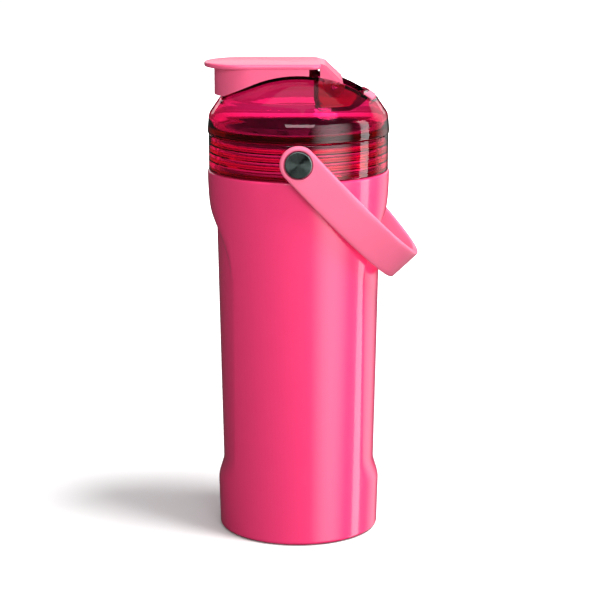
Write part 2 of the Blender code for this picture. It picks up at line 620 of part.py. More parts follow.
skirt_half = CAP_HALF_WIDTH - SKIRT_INSET
skirt_centre = SKIRT_TIP + skirt_half
skirt_outline = [(SKIRT_END, -skirt_half), (SKIRT_END, skirt_half)]
skirt_outline += arc(skirt_centre, 0, skirt_half, 90, 270, 32)
skirt = flat_piece("skirt", skirt_outline, SKIRT_BOTTOM, plate_bottom + 1.0, tool=True)
room_half = skirt_half - SKIRT_WALL
room_outline = [(SKIRT_END + 5, -room_half), (SKIRT_END + 5, room_half)]
room_outline += arc(skirt_centre, 0, room_half, 90, 270, 32)
skirt_room = flat_piece("skirt_room", room_outline, SKIRT_BOTTOM - 5, plate_bottom + 0.2, tool=True)
cap_seat = turned("cap_seat", dome_outline(PLINTH_RAISE + GAP, dome_bottom), STEPS, tool=True)
combine(skirt, skirt_room)
combine(skirt, cap_seat)
combine(flip_cap, skirt, "UNION")

arm_half = POCKET_HALF_WIDTH - ARM_CLEARANCE
arm_top = CAP_TOP - 0.15
arm_root = plate_bottom + 0.5
heel_angle = 35
arm_outline = [(CAP_PLATE_END - 4, arm_root), (CAP_PLATE_END - 4, arm_top), (ARM_BREAK, arm_top)]
arm_outline += [(ARM_HEEL_X, ARM_HEEL_Z)]
arm_outline += arc(HINGE_X, HINGE_Z, KNUCKLE_RADIUS, heel_angle, -180, 14)
arm_outline += [(HINGE_X - KNUCKLE_RADIUS, HINGE_Z + 2), (ARM_START, HINGE_Z + 5), (ARM_START, arm_root)]
arm = flat_piece("arm", arm_outline, -arm_half, arm_half, "XZ", tool=True)
combine(flip_cap, arm, "UNION")
knuckle_bore = cross_rod("knuckle_bore", PIN_RADIUS + PIN_CLEARANCE, HINGE_X, HINGE_Z, arm_half + 2, 20,
                         tool=True)
combine(flip_cap, knuckle_bore)

plug_top = plate_bottom - GAP + 0.2
stem_radius = SPOUT_BORE - PLUG_CLEARANCE
spout_plug = turned("spout_plug",
                    [(0, plug_top), (SPOUT_BORE + SPOUT_WALL, plug_top),
                     (SPOUT_BORE + SPOUT_WALL, SPOUT_TOP + GAP), (stem_radius, SPOUT_TOP + GAP),
                     (stem_radius - 0.6, SPOUT_TOP - PLUG_DEPTH), (0, SPOUT_TOP - PLUG_DEPTH)],
                    SMALL_STEPS + 8, silicone_clear)
spout_plug.location.x = SPOUT_X * MM

# ---------------------------------------------------------------- handle
half_width = HANDLE_WIDTH / 2


def bow(reach, half_span):
    """A bow-shaped curve from one arm round the end to the other arm."""
    points = []
    for i in range(HANDLE_POINTS + 1):
        a = -pi / 2 + pi * i / HANDLE_POINTS
        points.append((reach * abs(cos(a)) ** (2 / HANDLE_POWER),
                       half_span * (1 if a > 0 else -1) * abs(sin(a)) ** (2 / HANDLE_POWER)))
    return points


def resting_angle():
    """Steepest hang, in degrees, at which the strap clears the widest part of the body,
    so that the lid can be turned and lifted off with the handle hanging."""
    widest = max(BODY_TOP_RADIUS, BODY_BASE_RADIUS) + HANDLE_CLEARANCE
    low_edge = half_width - HANDLE_EDGE
    tenths = 850
    while tenths > 0:
        tilt = radians(tenths / 10)
        reaches = [sqrt(((reach + HANDLE_EDGE) * cos(tilt) - low_edge * sin(tilt)) ** 2 + y * y) - HANDLE_EDGE
                   for reach, y in bow(HANDLE_REACH, HANDLE_HALF_SPAN) if reach > HANDLE_REACH / 3]
        if min(reaches) >= widest:
            break
        tenths -= 1
    return tenths / 10


handle_angle = resting_angle()
handle_pivot = bpy.data.objects.new("handle_pivot", None)
parts.objects.link(handle_pivot)
handle_pivot.location = (0, 0, PIVOT_Z * MM)
handle_pivot.rotation_euler = (0, radians(handle_angle), 0)

outer_bow = bow(HANDLE_REACH + HANDLE_THICKNESS, HANDLE_HALF_SPAN + HANDLE_THICKNESS)
inner_bow = bow(HANDLE_REACH, HANDLE_HALF_SPAN)
strap_outline = [(-half_width - 1, outer_bow[0][1])] + outer_bow + [(-half_width - 1, outer_bow[-1][1])]
strap_outline += [(-half_width - 1, inner_bow[-1][1])] + inner_bow[::-1] + [(-half_width - 1, inner_bow[0][1])]
handle = flat_piece("handle", strap_outline, -half_width, half_width, material=strap_pink)
handle.parent = handle_pivot
rounding = handle.modifiers.new("edge", "BEVEL")
rounding.width = HANDLE_EDGE * MM
rounding.segments = 2
rounding.limit_method = "ANGLE"
rounding.angle_limit = radians(60)
span = HANDLE_HALF_SPAN + HANDLE_THICKNESS
trim_outline = arc(0, 0, half_width + 0.12, 90, 270, 20)
trim_outline += [(HANDLE_REACH + 20, -half_width - 3), (HANDLE_REACH + 20, half_width + 3)]
handle_trim = flat_piece("handle_trim", trim_outline, -span - 2, span + 2, "XZ", tool=True)
handle_trim.parent = handle_pivot
combine(handle, handle_trim, "INTERSECT")

# Distances along Y from the bottle axis, from the boss outwards
washer_in = BOSS_FACE + GAP
washer_out = washer_in + WASHER_THICKNESS
web_out = HANDLE_HALF_SPAN + HANDLE_THICKNESS - COUNTERBORE_DEPTH
bush_hole = SCREW_RADIUS + SCREW_CLEARANCE
bush_radius = bush_hole + BUSH_WALL
bush_in = washer_out + GAP
flange_in = web_out + GAP
head_in = flange_in + BUSH_FLANGE + GAP
head_out = head_in + SCREW_HEAD
button_in = head_out + GAP
button_out = button_in + BUTTON_FACE

for side, label in ((-1, "front"), (1, "rear")):
    for radius, low, high, name in (
            (bush_radius + GAP, HANDLE_HALF_SPAN - 4, web_out + 1, "handle_hole_"),
            (COUNTERBORE_RADIUS, web_out, span + 4, "handle_counterbore_")):
        cut = rod(name + label, radius, low, high, SMALL_STEPS + 8, tool=True)
        cut.rotation_euler = (pi / 2, 0, 0)
        cut.location = (0, side * (low + high) / 2 * MM, 0)
        cut.parent = handle_pivot
        combine(handle, cut)

    washer = turned("pivot_washer_" + label,
                    [(bush_hole, washer_out), (WASHER_RADIUS, washer_out), (WASHER_RADIUS, washer_in),
                     (bush_hole, washer_in)], SMALL_STEPS, nylon, ring=True)
    bush = turned("pivot_bush_" + label,
                  [(bush_hole, flange_in + BUSH_FLANGE), (BUSH_FLANGE_RADIUS, flange_in + BUSH_FLANGE),
                   (BUSH_FLANGE_RADIUS, flange_in), (bush_radius, flange_in), (bush_radius, bush_in),
                   (bush_hole, bush_in)], SMALL_STEPS, nylon, ring=True)
    screw = turned("pivot_screw_" + label,
                   [(0, head_out), (SCREW_HEAD_RADIUS, head_out), (SCREW_HEAD_RADIUS, head_in),
                    (SCREW_RADIUS, head_in), (SCREW_RADIUS, SCREW_END), (0, SCREW_END)],
                   SMALL_STEPS, steel)
    button_hollow = SCREW_HEAD_RADIUS + GAP
    button = turned("handle_button_" + label,
                    [(0, button_out), (BUTTON_RADIUS - 0.3, button_out), (BUTTON_RADIUS, button_out - 0.3),
                     (BUTTON_RADIUS, head_in), (BUTTON_RADIUS - BUTTON_WALL, head_in),
                     (BUTTON_RADIUS - BUTTON_WALL, button_in), (0, button_in)],
                    SMALL_STEPS + 12, spun_steel)
    for piece in (washer, bush, screw, button):
        lay_on_y(piece, side)

# ---------------------------------------------------------------- agitator
ring_radius = LEDGE_RADIUS - GAP - 0.1
ring_inner = ring_radius - AGITATOR_WALL
ring_low = AGITATOR_RING_TOP - AGITATOR_RING_HEIGHT
dish_low = ring_low - AGITATOR_DEPTH
agitator = turned("agitator",
                  [(0, dish_low + AGITATOR_WALL + 0.4), (ring_inner, ring_low + AGITATOR_WALL),
                   (ring_inner, AGITATOR_RING_TOP), (ring_radius, AGITATOR_RING_TOP),
                   (ring_radius, ring_low), (0, dish_low)], STEPS, nylon)
slot_shape = bmesh.new()
for i in range(AGITATOR_SLOTS):
    turn = Matrix.Rotation(2 * pi * i / AGITATOR_SLOTS, 4, "Z")
    place = Matrix.Translation(((SLOT_INNER + SLOT_OUTER) / 2 * MM, 0, (dish_low + 10) * MM))
    size = Matrix.Diagonal(((SLOT_OUTER - SLOT_INNER) * MM, SLOT_WIDTH * MM, 50 * MM, 1.0))
    bmesh.ops.create_cube(slot_shape, size=1.0, matrix=turn @ place @ size)
slot_mesh = bpy.data.meshes.new("agitator_slots")
slot_shape.to_mesh(slot_mesh)
slot_shape.free()
agitator_slots = finish(bpy.data.objects.new("agitator_slots", slot_mesh), tool=True)
combine(agitator, agitator_slots)

print("shaker bottle:", len([o for o in parts.objects if o.type == "MESH"]), "pieces")
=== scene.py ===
import json
from math import cos, exp, hypot, pi, radians, sin, sqrt

import bmesh
import bpy
from mathutils import Matrix, Vector


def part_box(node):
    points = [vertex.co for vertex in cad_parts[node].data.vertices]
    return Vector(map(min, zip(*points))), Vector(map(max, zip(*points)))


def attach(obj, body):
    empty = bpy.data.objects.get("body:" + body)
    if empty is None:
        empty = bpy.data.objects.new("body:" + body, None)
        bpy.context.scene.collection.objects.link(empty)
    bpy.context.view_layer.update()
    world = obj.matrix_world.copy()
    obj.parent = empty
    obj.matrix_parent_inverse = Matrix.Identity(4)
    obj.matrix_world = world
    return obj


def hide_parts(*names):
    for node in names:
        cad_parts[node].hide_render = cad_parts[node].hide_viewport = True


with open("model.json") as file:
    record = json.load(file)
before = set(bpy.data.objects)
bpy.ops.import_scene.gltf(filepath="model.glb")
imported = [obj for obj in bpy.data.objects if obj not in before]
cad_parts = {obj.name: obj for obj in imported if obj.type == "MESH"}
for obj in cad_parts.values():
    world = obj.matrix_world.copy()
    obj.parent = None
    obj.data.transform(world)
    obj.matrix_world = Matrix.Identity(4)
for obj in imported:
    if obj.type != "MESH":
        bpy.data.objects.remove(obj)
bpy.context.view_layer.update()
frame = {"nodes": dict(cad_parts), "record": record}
cad = frame["nodes"]
scene = bpy.context.scene
mm = 0.001             # sizes below are in millimetres unless a note says metres
pieces = []            # every new piece with its slot
print("frame loaded:", len(cad), "nodes")


def corners(node):
    low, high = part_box(node)
    return low / mm, high / mm


shellLow, shellHigh = corners("outer_shell")
domeLow, domeHigh = corners("lid_dome")
collarLow, collarHigh = corners("lid_collar")
linerLow, linerHigh = corners("inner_liner")
capLow, capHigh = corners("flip_cap")
pinLow, pinHigh = corners("hinge_pin")
buttonLow, buttonHigh = corners("handle_button_front")
gasketLow, gasketHigh = corners("mouth_gasket")
pivotHeight = (buttonLow.z + buttonHigh.z) / 2
hingePoint = ((pinLow.x + pinHigh.x) / 2, (pinLow.z + pinHigh.z) / 2)


# Mesh helpers
def link(mesh, name, smoothAngle=35):
    obj = bpy.data.objects.new(name, mesh)
    scene.collection.objects.link(obj)
    if len(mesh.polygons):
        mesh.shade_smooth()
        mesh.set_sharp_from_angle(angle=radians(smoothAngle))
    return obj


def meshFrom(shape, name):
    bmesh.ops.recalc_face_normals(shape, faces=shape.faces)
    mesh = bpy.data.meshes.new(name)
    shape.to_mesh(mesh)
    shape.free()
    return mesh


def ringsToMesh(rings, name):
    # each ring is a list of points that goes once round
    shape = bmesh.new()
    made = [[shape.verts.new(Vector(p) * mm) for p in ring] for ring in rings]
    count = len(made[0])
    for lower, upper in zip(made, made[1:]):
        for i in range(count):
            j = (i + 1) % count
            shape.faces.new((lower[i], lower[j], upper[j], upper[i]))
    return meshFrom(shape, name)


def turned(name, profile, steps=160, closed=False, smoothAngle=35):
    # turns a profile of (radius, height) points about Z
    mesh = bpy.data.meshes.new(name)
    count = len(profile)
    edges = [(i, i + 1) for i in range(count - 1)] + ([(count - 1, 0)] if closed else [])
    mesh.from_pydata([(r * mm, 0, z * mm) for r, z in profile], edges, [])
    obj = link(mesh, name)
    screw = obj.modifiers.new("turn", "SCREW")
    screw.steps = screw.render_steps = steps
    screw.use_merge_vertices = True
    screw.merge_threshold = 0.00001
    return bake(obj, smoothAngle)


def bake(obj, smoothAngle=35):
    # swaps the modifiers for the mesh that they make
    ready = obj.evaluated_get(bpy.context.evaluated_depsgraph_get())
    mesh = bpy.data.meshes.new_from_object(ready)
    mesh.name = obj.name
    obj.modifiers.clear()
    obj.data = mesh
    mesh.transform(obj.matrix_world)
    obj.matrix_world = Matrix.Identity(4)
    shape = bmesh.new()
    shape.from_mesh(mesh)
    bmesh.ops.remove_doubles(shape, verts=shape.verts, dist=0.000002)
    bmesh.ops.recalc_face_normals(shape, faces=shape.faces)
    shape.to_mesh(mesh)
    shape.free()
    mesh.shade_smooth()
    mesh.set_sharp_from_angle(angle=radians(smoothAngle))
    return obj


def arc(a, b, radius, start, end, count):
    # points on an arc, angles in degrees
    turns = [radians(start + (end - start) * i / count) for i in range(count + 1)]
    return [(a + radius * cos(t), b + radius * sin(t)) for t in turns]


def rounded(points, radius, count=5):
    # a profile with its inner corners rounded
    result = [points[0]]
    for before, here, after in zip(points, points[1:], points[2:]):
        a, b, c = Vector(before), Vector(here), Vector(after)
        reach = min(radius, (a - b).length * 0.45, (c - b).length * 0.45)
        start, end = b + (a - b).normalized() * reach, b + (c - b).normalized() * reach
        for i in range(count + 1):
            t = i / count
            result.append(tuple(start.lerp(b, t).lerp(b.lerp(end, t), t)))
    return result + [points[-1]]


def slab(name, outline, low, high, plane="XY"):
    # a flat outline given thickness, in XY from low to high or in XZ likewise
    shape = bmesh.new()
    spot = (lambda a, b, h: (a, b, h)) if plane == "XY" else (lambda a, b, h: (a, h, b))
    rings = [[shape.verts.new(Vector(spot(a, b, h)) * mm) for a, b in outline] for h in (low, high)]
    for i in range(len(outline)):
        j = (i + 1) % len(outline)
        shape.faces.new((rings[0][i], rings[0][j], rings[1][j], rings[1][i]))
    shape.faces.new(rings[0])
    shape.faces.new(rings[1])
    return link(meshFrom(shape, name), name)


def rod(name, radius, start, end, steps=64):
    # a cylinder between two points
    a, b = Vector(start), Vector(end)
    shape = bmesh.new()
    turn = (b - a).to_track_quat("Z", "Y").to_matrix().to_4x4()
    middle = Matrix.Translation((a + b) / 2 * mm) @ turn
    bmesh.ops.create_cone(shape, cap_ends=True, segments=steps, radius1=radius * mm, radius2=radius * mm,
                          depth=(b - a).length * mm, matrix=middle)
    return link(meshFrom(shape, name), name)


def soften(obj, width, segments=3, limit=50):
    bevel = obj.modifiers.new("edges", "BEVEL")
    bevel.width = width * mm
    bevel.segments = segments
    bevel.limit_method = "ANGLE"
    bevel.angle_limit = radians(limit)
    return bake(obj)


def combine(obj, tool, operation="DIFFERENCE"):
    change = obj.modifiers.new(operation.lower(), "BOOLEAN")
    change.operation = operation
    change.object = tool
    change.solver = "EXACT"
    bake(obj)
    bpy.data.objects.remove(tool)
    return obj


def stand(obj, body, slot, *replaced):
    pieces.append((obj, slot))
    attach(obj, body)
    if replaced:
        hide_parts(*replaced)
    return obj


# Body: a round taper with two flat grips let into its sides
shellLook = {
    "columns": 400, "rows": 300,
    "topRadius": shellHigh.y, "baseRadius": 39.9, "straight": 5.5, "topFillet": 1.0,
    "footFillet": 1.6, "footLip": 2.8,
    "panelCurve": 58.0, "panelDepthTop": 40.55, "panelDepthLow": 38.0,
    "gripTop": 157.0, "gripLow": 36.5, "gripHalf": 29.0, "gripPower": 2.3,
    "topArch": 27.0, "lowArch": 16.0, "topFade": 4.9, "lowFade": 12.5, "crease": 0.22,
}


def wallRadius(z):
    look = shellLook
    band = shellHigh.z - look["straight"]
    share = min(max(z / band, 0), 1)
    return look["baseRadius"] + (look["topRadius"] - look["baseRadius"]) * share


def archDrop(y, arch):
    # how far the arch's outline lies below its apex at a distance from the middle
    share = min(abs(y) / shellLook["gripHalf"], 0.999) ** shellLook["gripPower"]
    return arch * (1 - (1 - share) ** (1 / shellLook["gripPower"]))


def gripFade(y, z):
    # 1 on the grip's panel, falling to 0 through the wall round it
    look = shellLook
    above = z - (look["gripTop"] - archDrop(y, look["topArch"]))
    below = look["gripLow"] + archDrop(y, look["lowArch"]) - z
    if above > 0:
        return exp(-above / look["topFade"])
    if below > 0:
        t = min(below / look["lowFade"], 1)
        return 1 - t * t * (3 - 2 * t)
    return 1


def shellRadius(turn, z):
    look = shellLook
    plain = wallRadius(z)
    side = abs(cos(turn))
    slope = (look["panelDepthTop"] - look["panelDepthLow"]) / (look["gripTop"] - look["gripLow"])
    depth = look["panelDepthLow"] + (z - look["gripLow"]) * slope
    shift = look["panelCurve"] - (look["panelDepthTop"] + look["panelDepthLow"]) / 2
    panel = shift + depth
    reach = -shift * side + sqrt(max(panel ** 2 - (shift * sin(turn)) ** 2, 0))
    cutIn = plain - reach
    cutIn = (cutIn + sqrt(cutIn ** 2 + look["crease"] ** 2)) / 2 if side > 0.3 else 0
    return plain - cutIn * gripFade(plain * sin(turn), z)


def makeShell():
    look = shellLook
    top, foot = shellHigh.z, shellLow.z
    turns = [2 * pi * i / look["columns"] for i in range(look["columns"])]
    footRadius = wallRadius(foot + look["footFillet"])
    inner = footRadius - look["footFillet"] - look["footLip"]
    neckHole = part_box("inner_liner")[1].y / mm - 0.9
    low = [(inner, foot + 0.8), (inner, foot)]
    low += arc(footRadius - look["footFillet"], foot + look["footFillet"], look["footFillet"], -90, -8, 7)
    high = arc(look["topRadius"] - look["topFillet"], top - look["topFillet"], look["topFillet"], 0, 90, 6)
    high += [(neckHole, top), (neckHole, top - 0.8)]
    rings = [[(r * cos(t), r * sin(t), z) for t in turns] for r, z in low]
    start, end = foot + look["footFillet"], top - look["topFillet"]
    for k in range(look["rows"]):
        z = start + (end - start) * k / look["rows"]
        rings.append([(shellRadius(t, z) * cos(t), shellRadius(t, z) * sin(t), z) for t in turns])
    rings += [[(r * cos(t), r * sin(t), z) for t in turns] for r, z in high]
    return link(ringsToMesh(rings, "bodyShell"), "bodyShell", 30)


stand(makeShell(), "bottle", "coat_pink", "outer_shell")
print("body shell made")

# Liner: its threaded neck shows through the collar
linerLook = {"neck": linerHigh.y - 1.4, "wall": 0.7, "base": 35.6, "bend": 8.0, "taperStart": 158.0,
             "threadFirst": 187.6, "threadPitch": 4.0, "threadCount": 3, "threadHeight": 1.4, "halfWidth": 1.3}


def threadSteps(radius, height, half, first, pitch, count):
    # one side of a ring thread after another, from the lowest up
    points = []
    for i in range(count):
        z = first + pitch * i
        points += [(radius, z - half), (radius + height * 0.8, z - half * 0.45),
                   (radius + height, z - half * 0.3), (radius + height, z + half * 0.3),
                   (radius + height * 0.8, z + half * 0.45), (radius, z + half)]
    return points


def makeLiner():
    look = linerLook
    inner, floor, top = look["neck"] - look["wall"], linerLow.z, linerHigh.z
    profile = [(0, floor)] + arc(look["base"] - look["bend"], floor + look["bend"], look["bend"], -90, 0, 12)
    profile += [(look["neck"], look["taperStart"])]
    profile += threadSteps(look["neck"], look["threadHeight"], look["halfWidth"], look["threadFirst"],
                           look["threadPitch"], look["threadCount"])
    profile += [(look["neck"], top - 0.35)] + arc(look["neck"] - 0.35, top - 0.35, 0.35, 0, 180, 8)
    profile += [(inner, top - 0.35), (inner, look["taperStart"])]
    profile += arc(look["base"] - look["wall"] - look["bend"], floor + look["wall"] + look["bend"],
                   look["bend"], 0, -90, 12)
    profile += [(0, floor + look["wall"])]
    return turned("neckLiner", profile, 200)


stand(makeLiner(), "bottle", "steel", "inner_liner")
print("liner made")

# Lid collar: a clear ring with threads inside and a boss for each pivot
collarLook = {"wall": 2.6, "radius": shellHigh.y - 0.6, "crest": linerHigh.y + 0.4, "bossRadius": 6.0,
              "bossBack": 40.6, "bossFace": shellHigh.y, "holeRadius": 2.2, "edge": 0.5}


def makeCollar():
    look = collarLook
    low, high = collarLow.z, collarHigh.z
    inner, outer = look["radius"] - look["wall"], look["radius"]
    profile = [(look["crest"], low), (outer - look["edge"], low)]
    profile += arc(outer - look["edge"], low + look["edge"], look["edge"], -80, 0, 5)
    profile += arc(outer - look["edge"], high - look["edge"], look["edge"], 0, 90, 5)
    profile += [(inner + 0.3, high), (inner, high - 0.3)]
    for i in reversed(range(linerLook["threadCount"])):
        z = linerLook["threadFirst"] + linerLook["threadPitch"] * (i + 0.5)
        half = linerLook["halfWidth"]
        profile += [(inner, z + half), (look["crest"], z + half / 3), (look["crest"], z - half / 3),
                    (inner, z - half)]
    profile += [(inner, low + 2.0), (look["crest"], low + 1.0)]
    obj = turned("clearCollar", profile, 160, closed=True, smoothAngle=28)
    for side in (-1, 1):
        boss = rod("boss", look["bossRadius"], (0, side * look["bossBack"], pivotHeight),
                   (0, side * look["bossFace"], pivotHeight), 72)
        combine(obj, boss, "UNION")
        hole = rod("bossHole", look["holeRadius"], (0, side * (look["bossBack"] + 0.6), pivotHeight),
                   (0, side * (look["bossFace"] + 2), pivotHeight), 40)
        combine(obj, hole)
    return obj


stand(makeCollar(), "lid", "tinted_clear", "lid_collar")
print("collar made")

# Lid dome: a clear shell with a plinth, a spout and a pocket for the cap's hinge
domeLook = {
    "radius": domeHigh.y, "shoulderRadius": domeHigh.y - 0.66, "shoulder": 211.2,
    "rimRadius": 38.6, "rim": 219.4,
    "crown": 231.7, "crownFlat": 8.0, "crownPull": 23.0, "wall": 2.2,
    "ledgeRadius": 36.9, "ledge": 2.0, "ledgeEdge": 0.4, "gasketRoom": 41.3, "pinBore": 1.55,
    "plinthRaise": 1.5, "plinthHalf": 18.6, "plinthFront": -38.1,
    "spoutX": -28.0, "bore": 7.3, "spoutWall": 1.8, "spoutTop": 231.6,
    "pocketFront": 9.6, "pocketFloor": 217.1, "pocketFloorEnd": 24.0, "pocketEnd": 34.0, "pocketHalf": 14.0,
    "pocketCorner": 3.0, "padInner": 34.6, "padOuter": 38.2, "padHalf": 13.8, "padDepth": 1.4,
}


def crownCurve(inset=0.0, raised=0.0, count=22):
    look = domeLook
    a, b = (look["crownFlat"], look["crown"]), (look["crownPull"], look["crown"] - 0.7)
    c = (look["rimRadius"], look["rim"])
    points = []
    for i in range(count + 1):
        t = i / count
        r, z = [(1 - t) ** 2 * p + 2 * t * (1 - t) * q + t * t * s for p, q, s in zip(a, b, c)]
        dr, dz = [2 * (1 - t) * (q - p) + 2 * t * (s - q) for p, q, s in zip(a, b, c)]
        length = hypot(dr, dz)
        points.append((r + dz / length * inset, z - dr / length * inset + raised))
    return points


def crownHeight(radius):
    curve = crownCurve(count=60)
    for (r0, z0), (r1, z1) in zip(curve, curve[1:]):
        if r0 <= radius <= r1:
            return z0 + (z1 - z0) * (radius - r0) / (r1 - r0)
    return domeLook["crown"]


def domeSkin(raised):
    look = domeLook
    bottom = domeLow.z
    corner = rounded([crownCurve(0, raised)[-3], (look["rimRadius"], look["rim"] + raised),
                      (look["shoulderRadius"], look["shoulder"] + raised),
                      (look["radius"], bottom + 2.0)], 1.6, 7)
    skin = [(0, look["crown"] + raised)] + crownCurve(0, raised)[:-2] + corner[1:-1]
    skin += [(look["radius"], bottom + 2.0), (look["radius"], bottom + 0.5)]
    skin += arc(look["radius"] - 0.5, bottom + 0.5, 0.5, -10, -90, 5)
    return skin + [(0, bottom)]


def pocketSide(grow):
    look = domeLook
    corner = look["pocketCorner"] + grow
    front, floor, top = look["pocketFront"] - grow, look["pocketFloor"] - grow, capHigh.z + 10
    brow = crownHeight(look["pocketEnd"]) - 0.6 - grow
    points = [(front, top)] + arc(front + corner, floor + corner, corner, 180, 270, 12)
    points += [(look["pocketFloorEnd"] + grow / 4, floor), (look["pocketEnd"] + grow / 4, brow)]
    return points + [(look["pocketEnd"] + grow / 4, top)]


def makeDome():
    look = domeLook
    dome = turned("clearDome", domeSkin(0), 160)
    plinthCentre = look["plinthFront"] + look["plinthHalf"]
    outline = [(look["pocketFront"], -look["plinthHalf"]), (look["pocketFront"], look["plinthHalf"])]
    outline += arc(plinthCentre, 0, look["plinthHalf"], 90, 270, 64)
    plinth = slab("plinth", outline, look["shoulder"], capHigh.z + 4)
    combine(plinth, turned("raisedSkin", domeSkin(look["plinthRaise"]), 160), "INTERSECT")
    combine(dome, plinth, "UNION")
    spoutFoot = (look["spoutX"], 0, look["rim"])
    combine(dome, rod("spoutTube", look["bore"] + look["spoutWall"], spoutFoot,
                      (look["spoutX"], 0, look["spoutTop"]), 72), "UNION")
    ledgeLow = gasketHigh.z + 0.3
    innerWall = look["shoulderRadius"] - look["wall"]
    hollow = [(0, look["crown"] - look["wall"])] + crownCurve(look["wall"])
    hollow += rounded([hollow[-1], (innerWall, look["shoulder"] - 1.1),
                       (innerWall, ledgeLow + look["ledge"] + 2)], 2.0, 6)[1:-1]
    hollow += arc(innerWall - 1.0, ledgeLow + look["ledge"] + 1.0, 1.0, 0, -90, 5)
    hollow += [(look["ledgeRadius"] + look["ledgeEdge"], ledgeLow + look["ledge"]),
               (look["ledgeRadius"], ledgeLow + look["ledge"] - look["ledgeEdge"])]
    hollow += [(look["ledgeRadius"], ledgeLow), (look["gasketRoom"], ledgeLow)]
    hollow += [(look["gasketRoom"], domeLow.z - 3), (0, domeLow.z - 3)]
    room = turned("domeRoom", hollow, 160)
    case = slab("pocketCase", pocketSide(look["wall"]), -look["pocketHalf"] - look["wall"],
                look["pocketHalf"] + look["wall"], "XZ")
    combine(room, case)
    combine(dome, room)
    combine(dome, slab("pocketRoom", pocketSide(0), -look["pocketHalf"], look["pocketHalf"], "XZ"))
    combine(dome, rod("spoutBore", look["bore"], (look["spoutX"], 0, look["shoulder"]),
                      (look["spoutX"], 0, capHigh.z + 4), 72))
    pinReach = pinHigh.y + 2
    combine(dome, rod("pinBore", look["pinBore"], (hingePoint[0], -pinReach, hingePoint[1]),
                      (hingePoint[0], pinReach, hingePoint[1]), 32))
    grow = 0.25
    inner, outer = look["padInner"] - grow, look["padOuter"] + grow
    topIn, topOut = crownHeight(inner) + 0.5, crownHeight(outer) + 0.5
    seat = turned("padSeat", [(inner, topIn), (outer, topOut), (outer, topOut - look["padDepth"] - 0.5),
                              (inner, topIn - look["padDepth"] - 0.5)], 240, closed=True)
    limit = look["padHalf"] + grow
    combine(seat, slab("seatLimit", [(0, -limit), (60, -limit), (60, limit), (0, limit)],
                       look["shoulder"], capHigh.z), "INTERSECT")
    combine(dome, seat)
    dome.data.set_sharp_from_angle(angle=radians(30))
    return dome


stand(makeDome(), "lid", "tinted_clear", "lid_dome")
print("dome made")

# Rear pad, let into the crown behind the hinge pocket
def makePad():
    look = domeLook
    inner, outer = look["padInner"], look["padOuter"]
    topIn, topOut = crownHeight(inner) + 0.5, crownHeight(outer) + 0.5
    profile = rounded([(inner, topIn - 1.2), (inner, topIn), (outer, topOut), (outer, topOut - 1.2)], 0.5, 4)
    pad = turned("rearPad", profile, 360, closed=True)
    limit = look["padHalf"]
    combine(pad, slab("padLimit", [(0, -limit), (60, -limit), (60, limit), (0, limit)],
                      look["shoulder"], capHigh.z + 2), "INTERSECT")
    return pad


stand(makePad(), "lid", "cap_pink", "rear_pad")

# Flip cap: a thumb-shaped plate with a skirt under it and a hinge arm behind
capLook = {
    "plate": 2.4, "tip": capLow.x, "half": capHigh.y, "plateEnd": 10.9, "rearCorner": 5.0, "edge": 0.9,
    "skirtTip": capLow.x + 4.9, "skirtInset": 0.2, "skirtEnd": 5.2, "skirtWall": 1.8, "skirtLow": 220.9,
    "armStart": 10.6, "armBreak": 12.6, "heel": (21.7, 228.1), "armHalf": 13.6,
    "knuckle": 4.9, "clearance": 0.3,
}


def makeCap():
    look = capLook
    top, under, half = capHigh.z, capHigh.z - look["plate"], look["half"]
    cornerX, cornerY = look["plateEnd"] - look["rearCorner"], half - look["rearCorner"]
    outline = arc(cornerX, cornerY, look["rearCorner"], 0, 90, 10)
    outline += arc(look["tip"] + half, 0, half, 90, 270, 80)
    outline += arc(cornerX, -cornerY, look["rearCorner"], -90, 0, 10)
    cap = soften(slab("flipCap", outline, under, top), look["edge"], 4)
    skirtHalf = half - look["skirtInset"]
    centre = look["skirtTip"] + skirtHalf
    skirt = slab("skirt", [(look["skirtEnd"], -skirtHalf), (look["skirtEnd"], skirtHalf)]
                 + arc(centre, 0, skirtHalf, 90, 270, 80), look["skirtLow"], under + 1)
    roomHalf = skirtHalf - look["skirtWall"]
    combine(skirt, slab("skirtRoom", [(look["skirtEnd"] + 5, -roomHalf), (look["skirtEnd"] + 5, roomHalf)]
                        + arc(centre, 0, roomHalf, 90, 270, 80), look["skirtLow"] - 5, under + 0.2))
    combine(skirt, turned("capSeat", domeSkin(domeLook["plinthRaise"] + look["clearance"]), 160))
    combine(cap, skirt, "UNION")
    x, z = hingePoint
    knuckle = look["knuckle"]
    arm = [(look["plateEnd"] - 4, under + 0.5), (look["plateEnd"] - 4, top - 0.15),
           (look["armBreak"], top - 0.15)]
    arm = [arm[0]] + rounded(arm[1:] + [look["heel"], (x + knuckle, z)], 1.6, 6)[:-1]
    arm += arc(x, z, knuckle, 0, -180, 28)
    arm += [(x - knuckle, z + 2), (look["armStart"], z + 5), (look["armStart"], under + 0.5)]
    combine(cap, slab("arm", arm, -look["armHalf"], look["armHalf"], "XZ"), "UNION")
    boreEnd = look["armHalf"] + 2
    combine(cap, rod("knuckleBore", domeLook["pinBore"], (x, -boreEnd, z), (x, boreEnd, z), 32))
    cap.data.set_sharp_from_angle(angle=radians(30))
    return cap


stand(makeCap(), "cap", "cap_pink", "flip_cap")
print("cap made")

# Handle: a flat strap with round ends, bent into a bow
handleLook = {"halfWidth": 9.0, "thickness": 3.2, "edge": 1.15, "power": 2.2, "halfSpan": 46.6, "reach": 75.2,
              "tilt": 47.0, "counterbore": 7.1, "depth": 1.9, "hole": 3.7, "stations": 150, "across": 8}


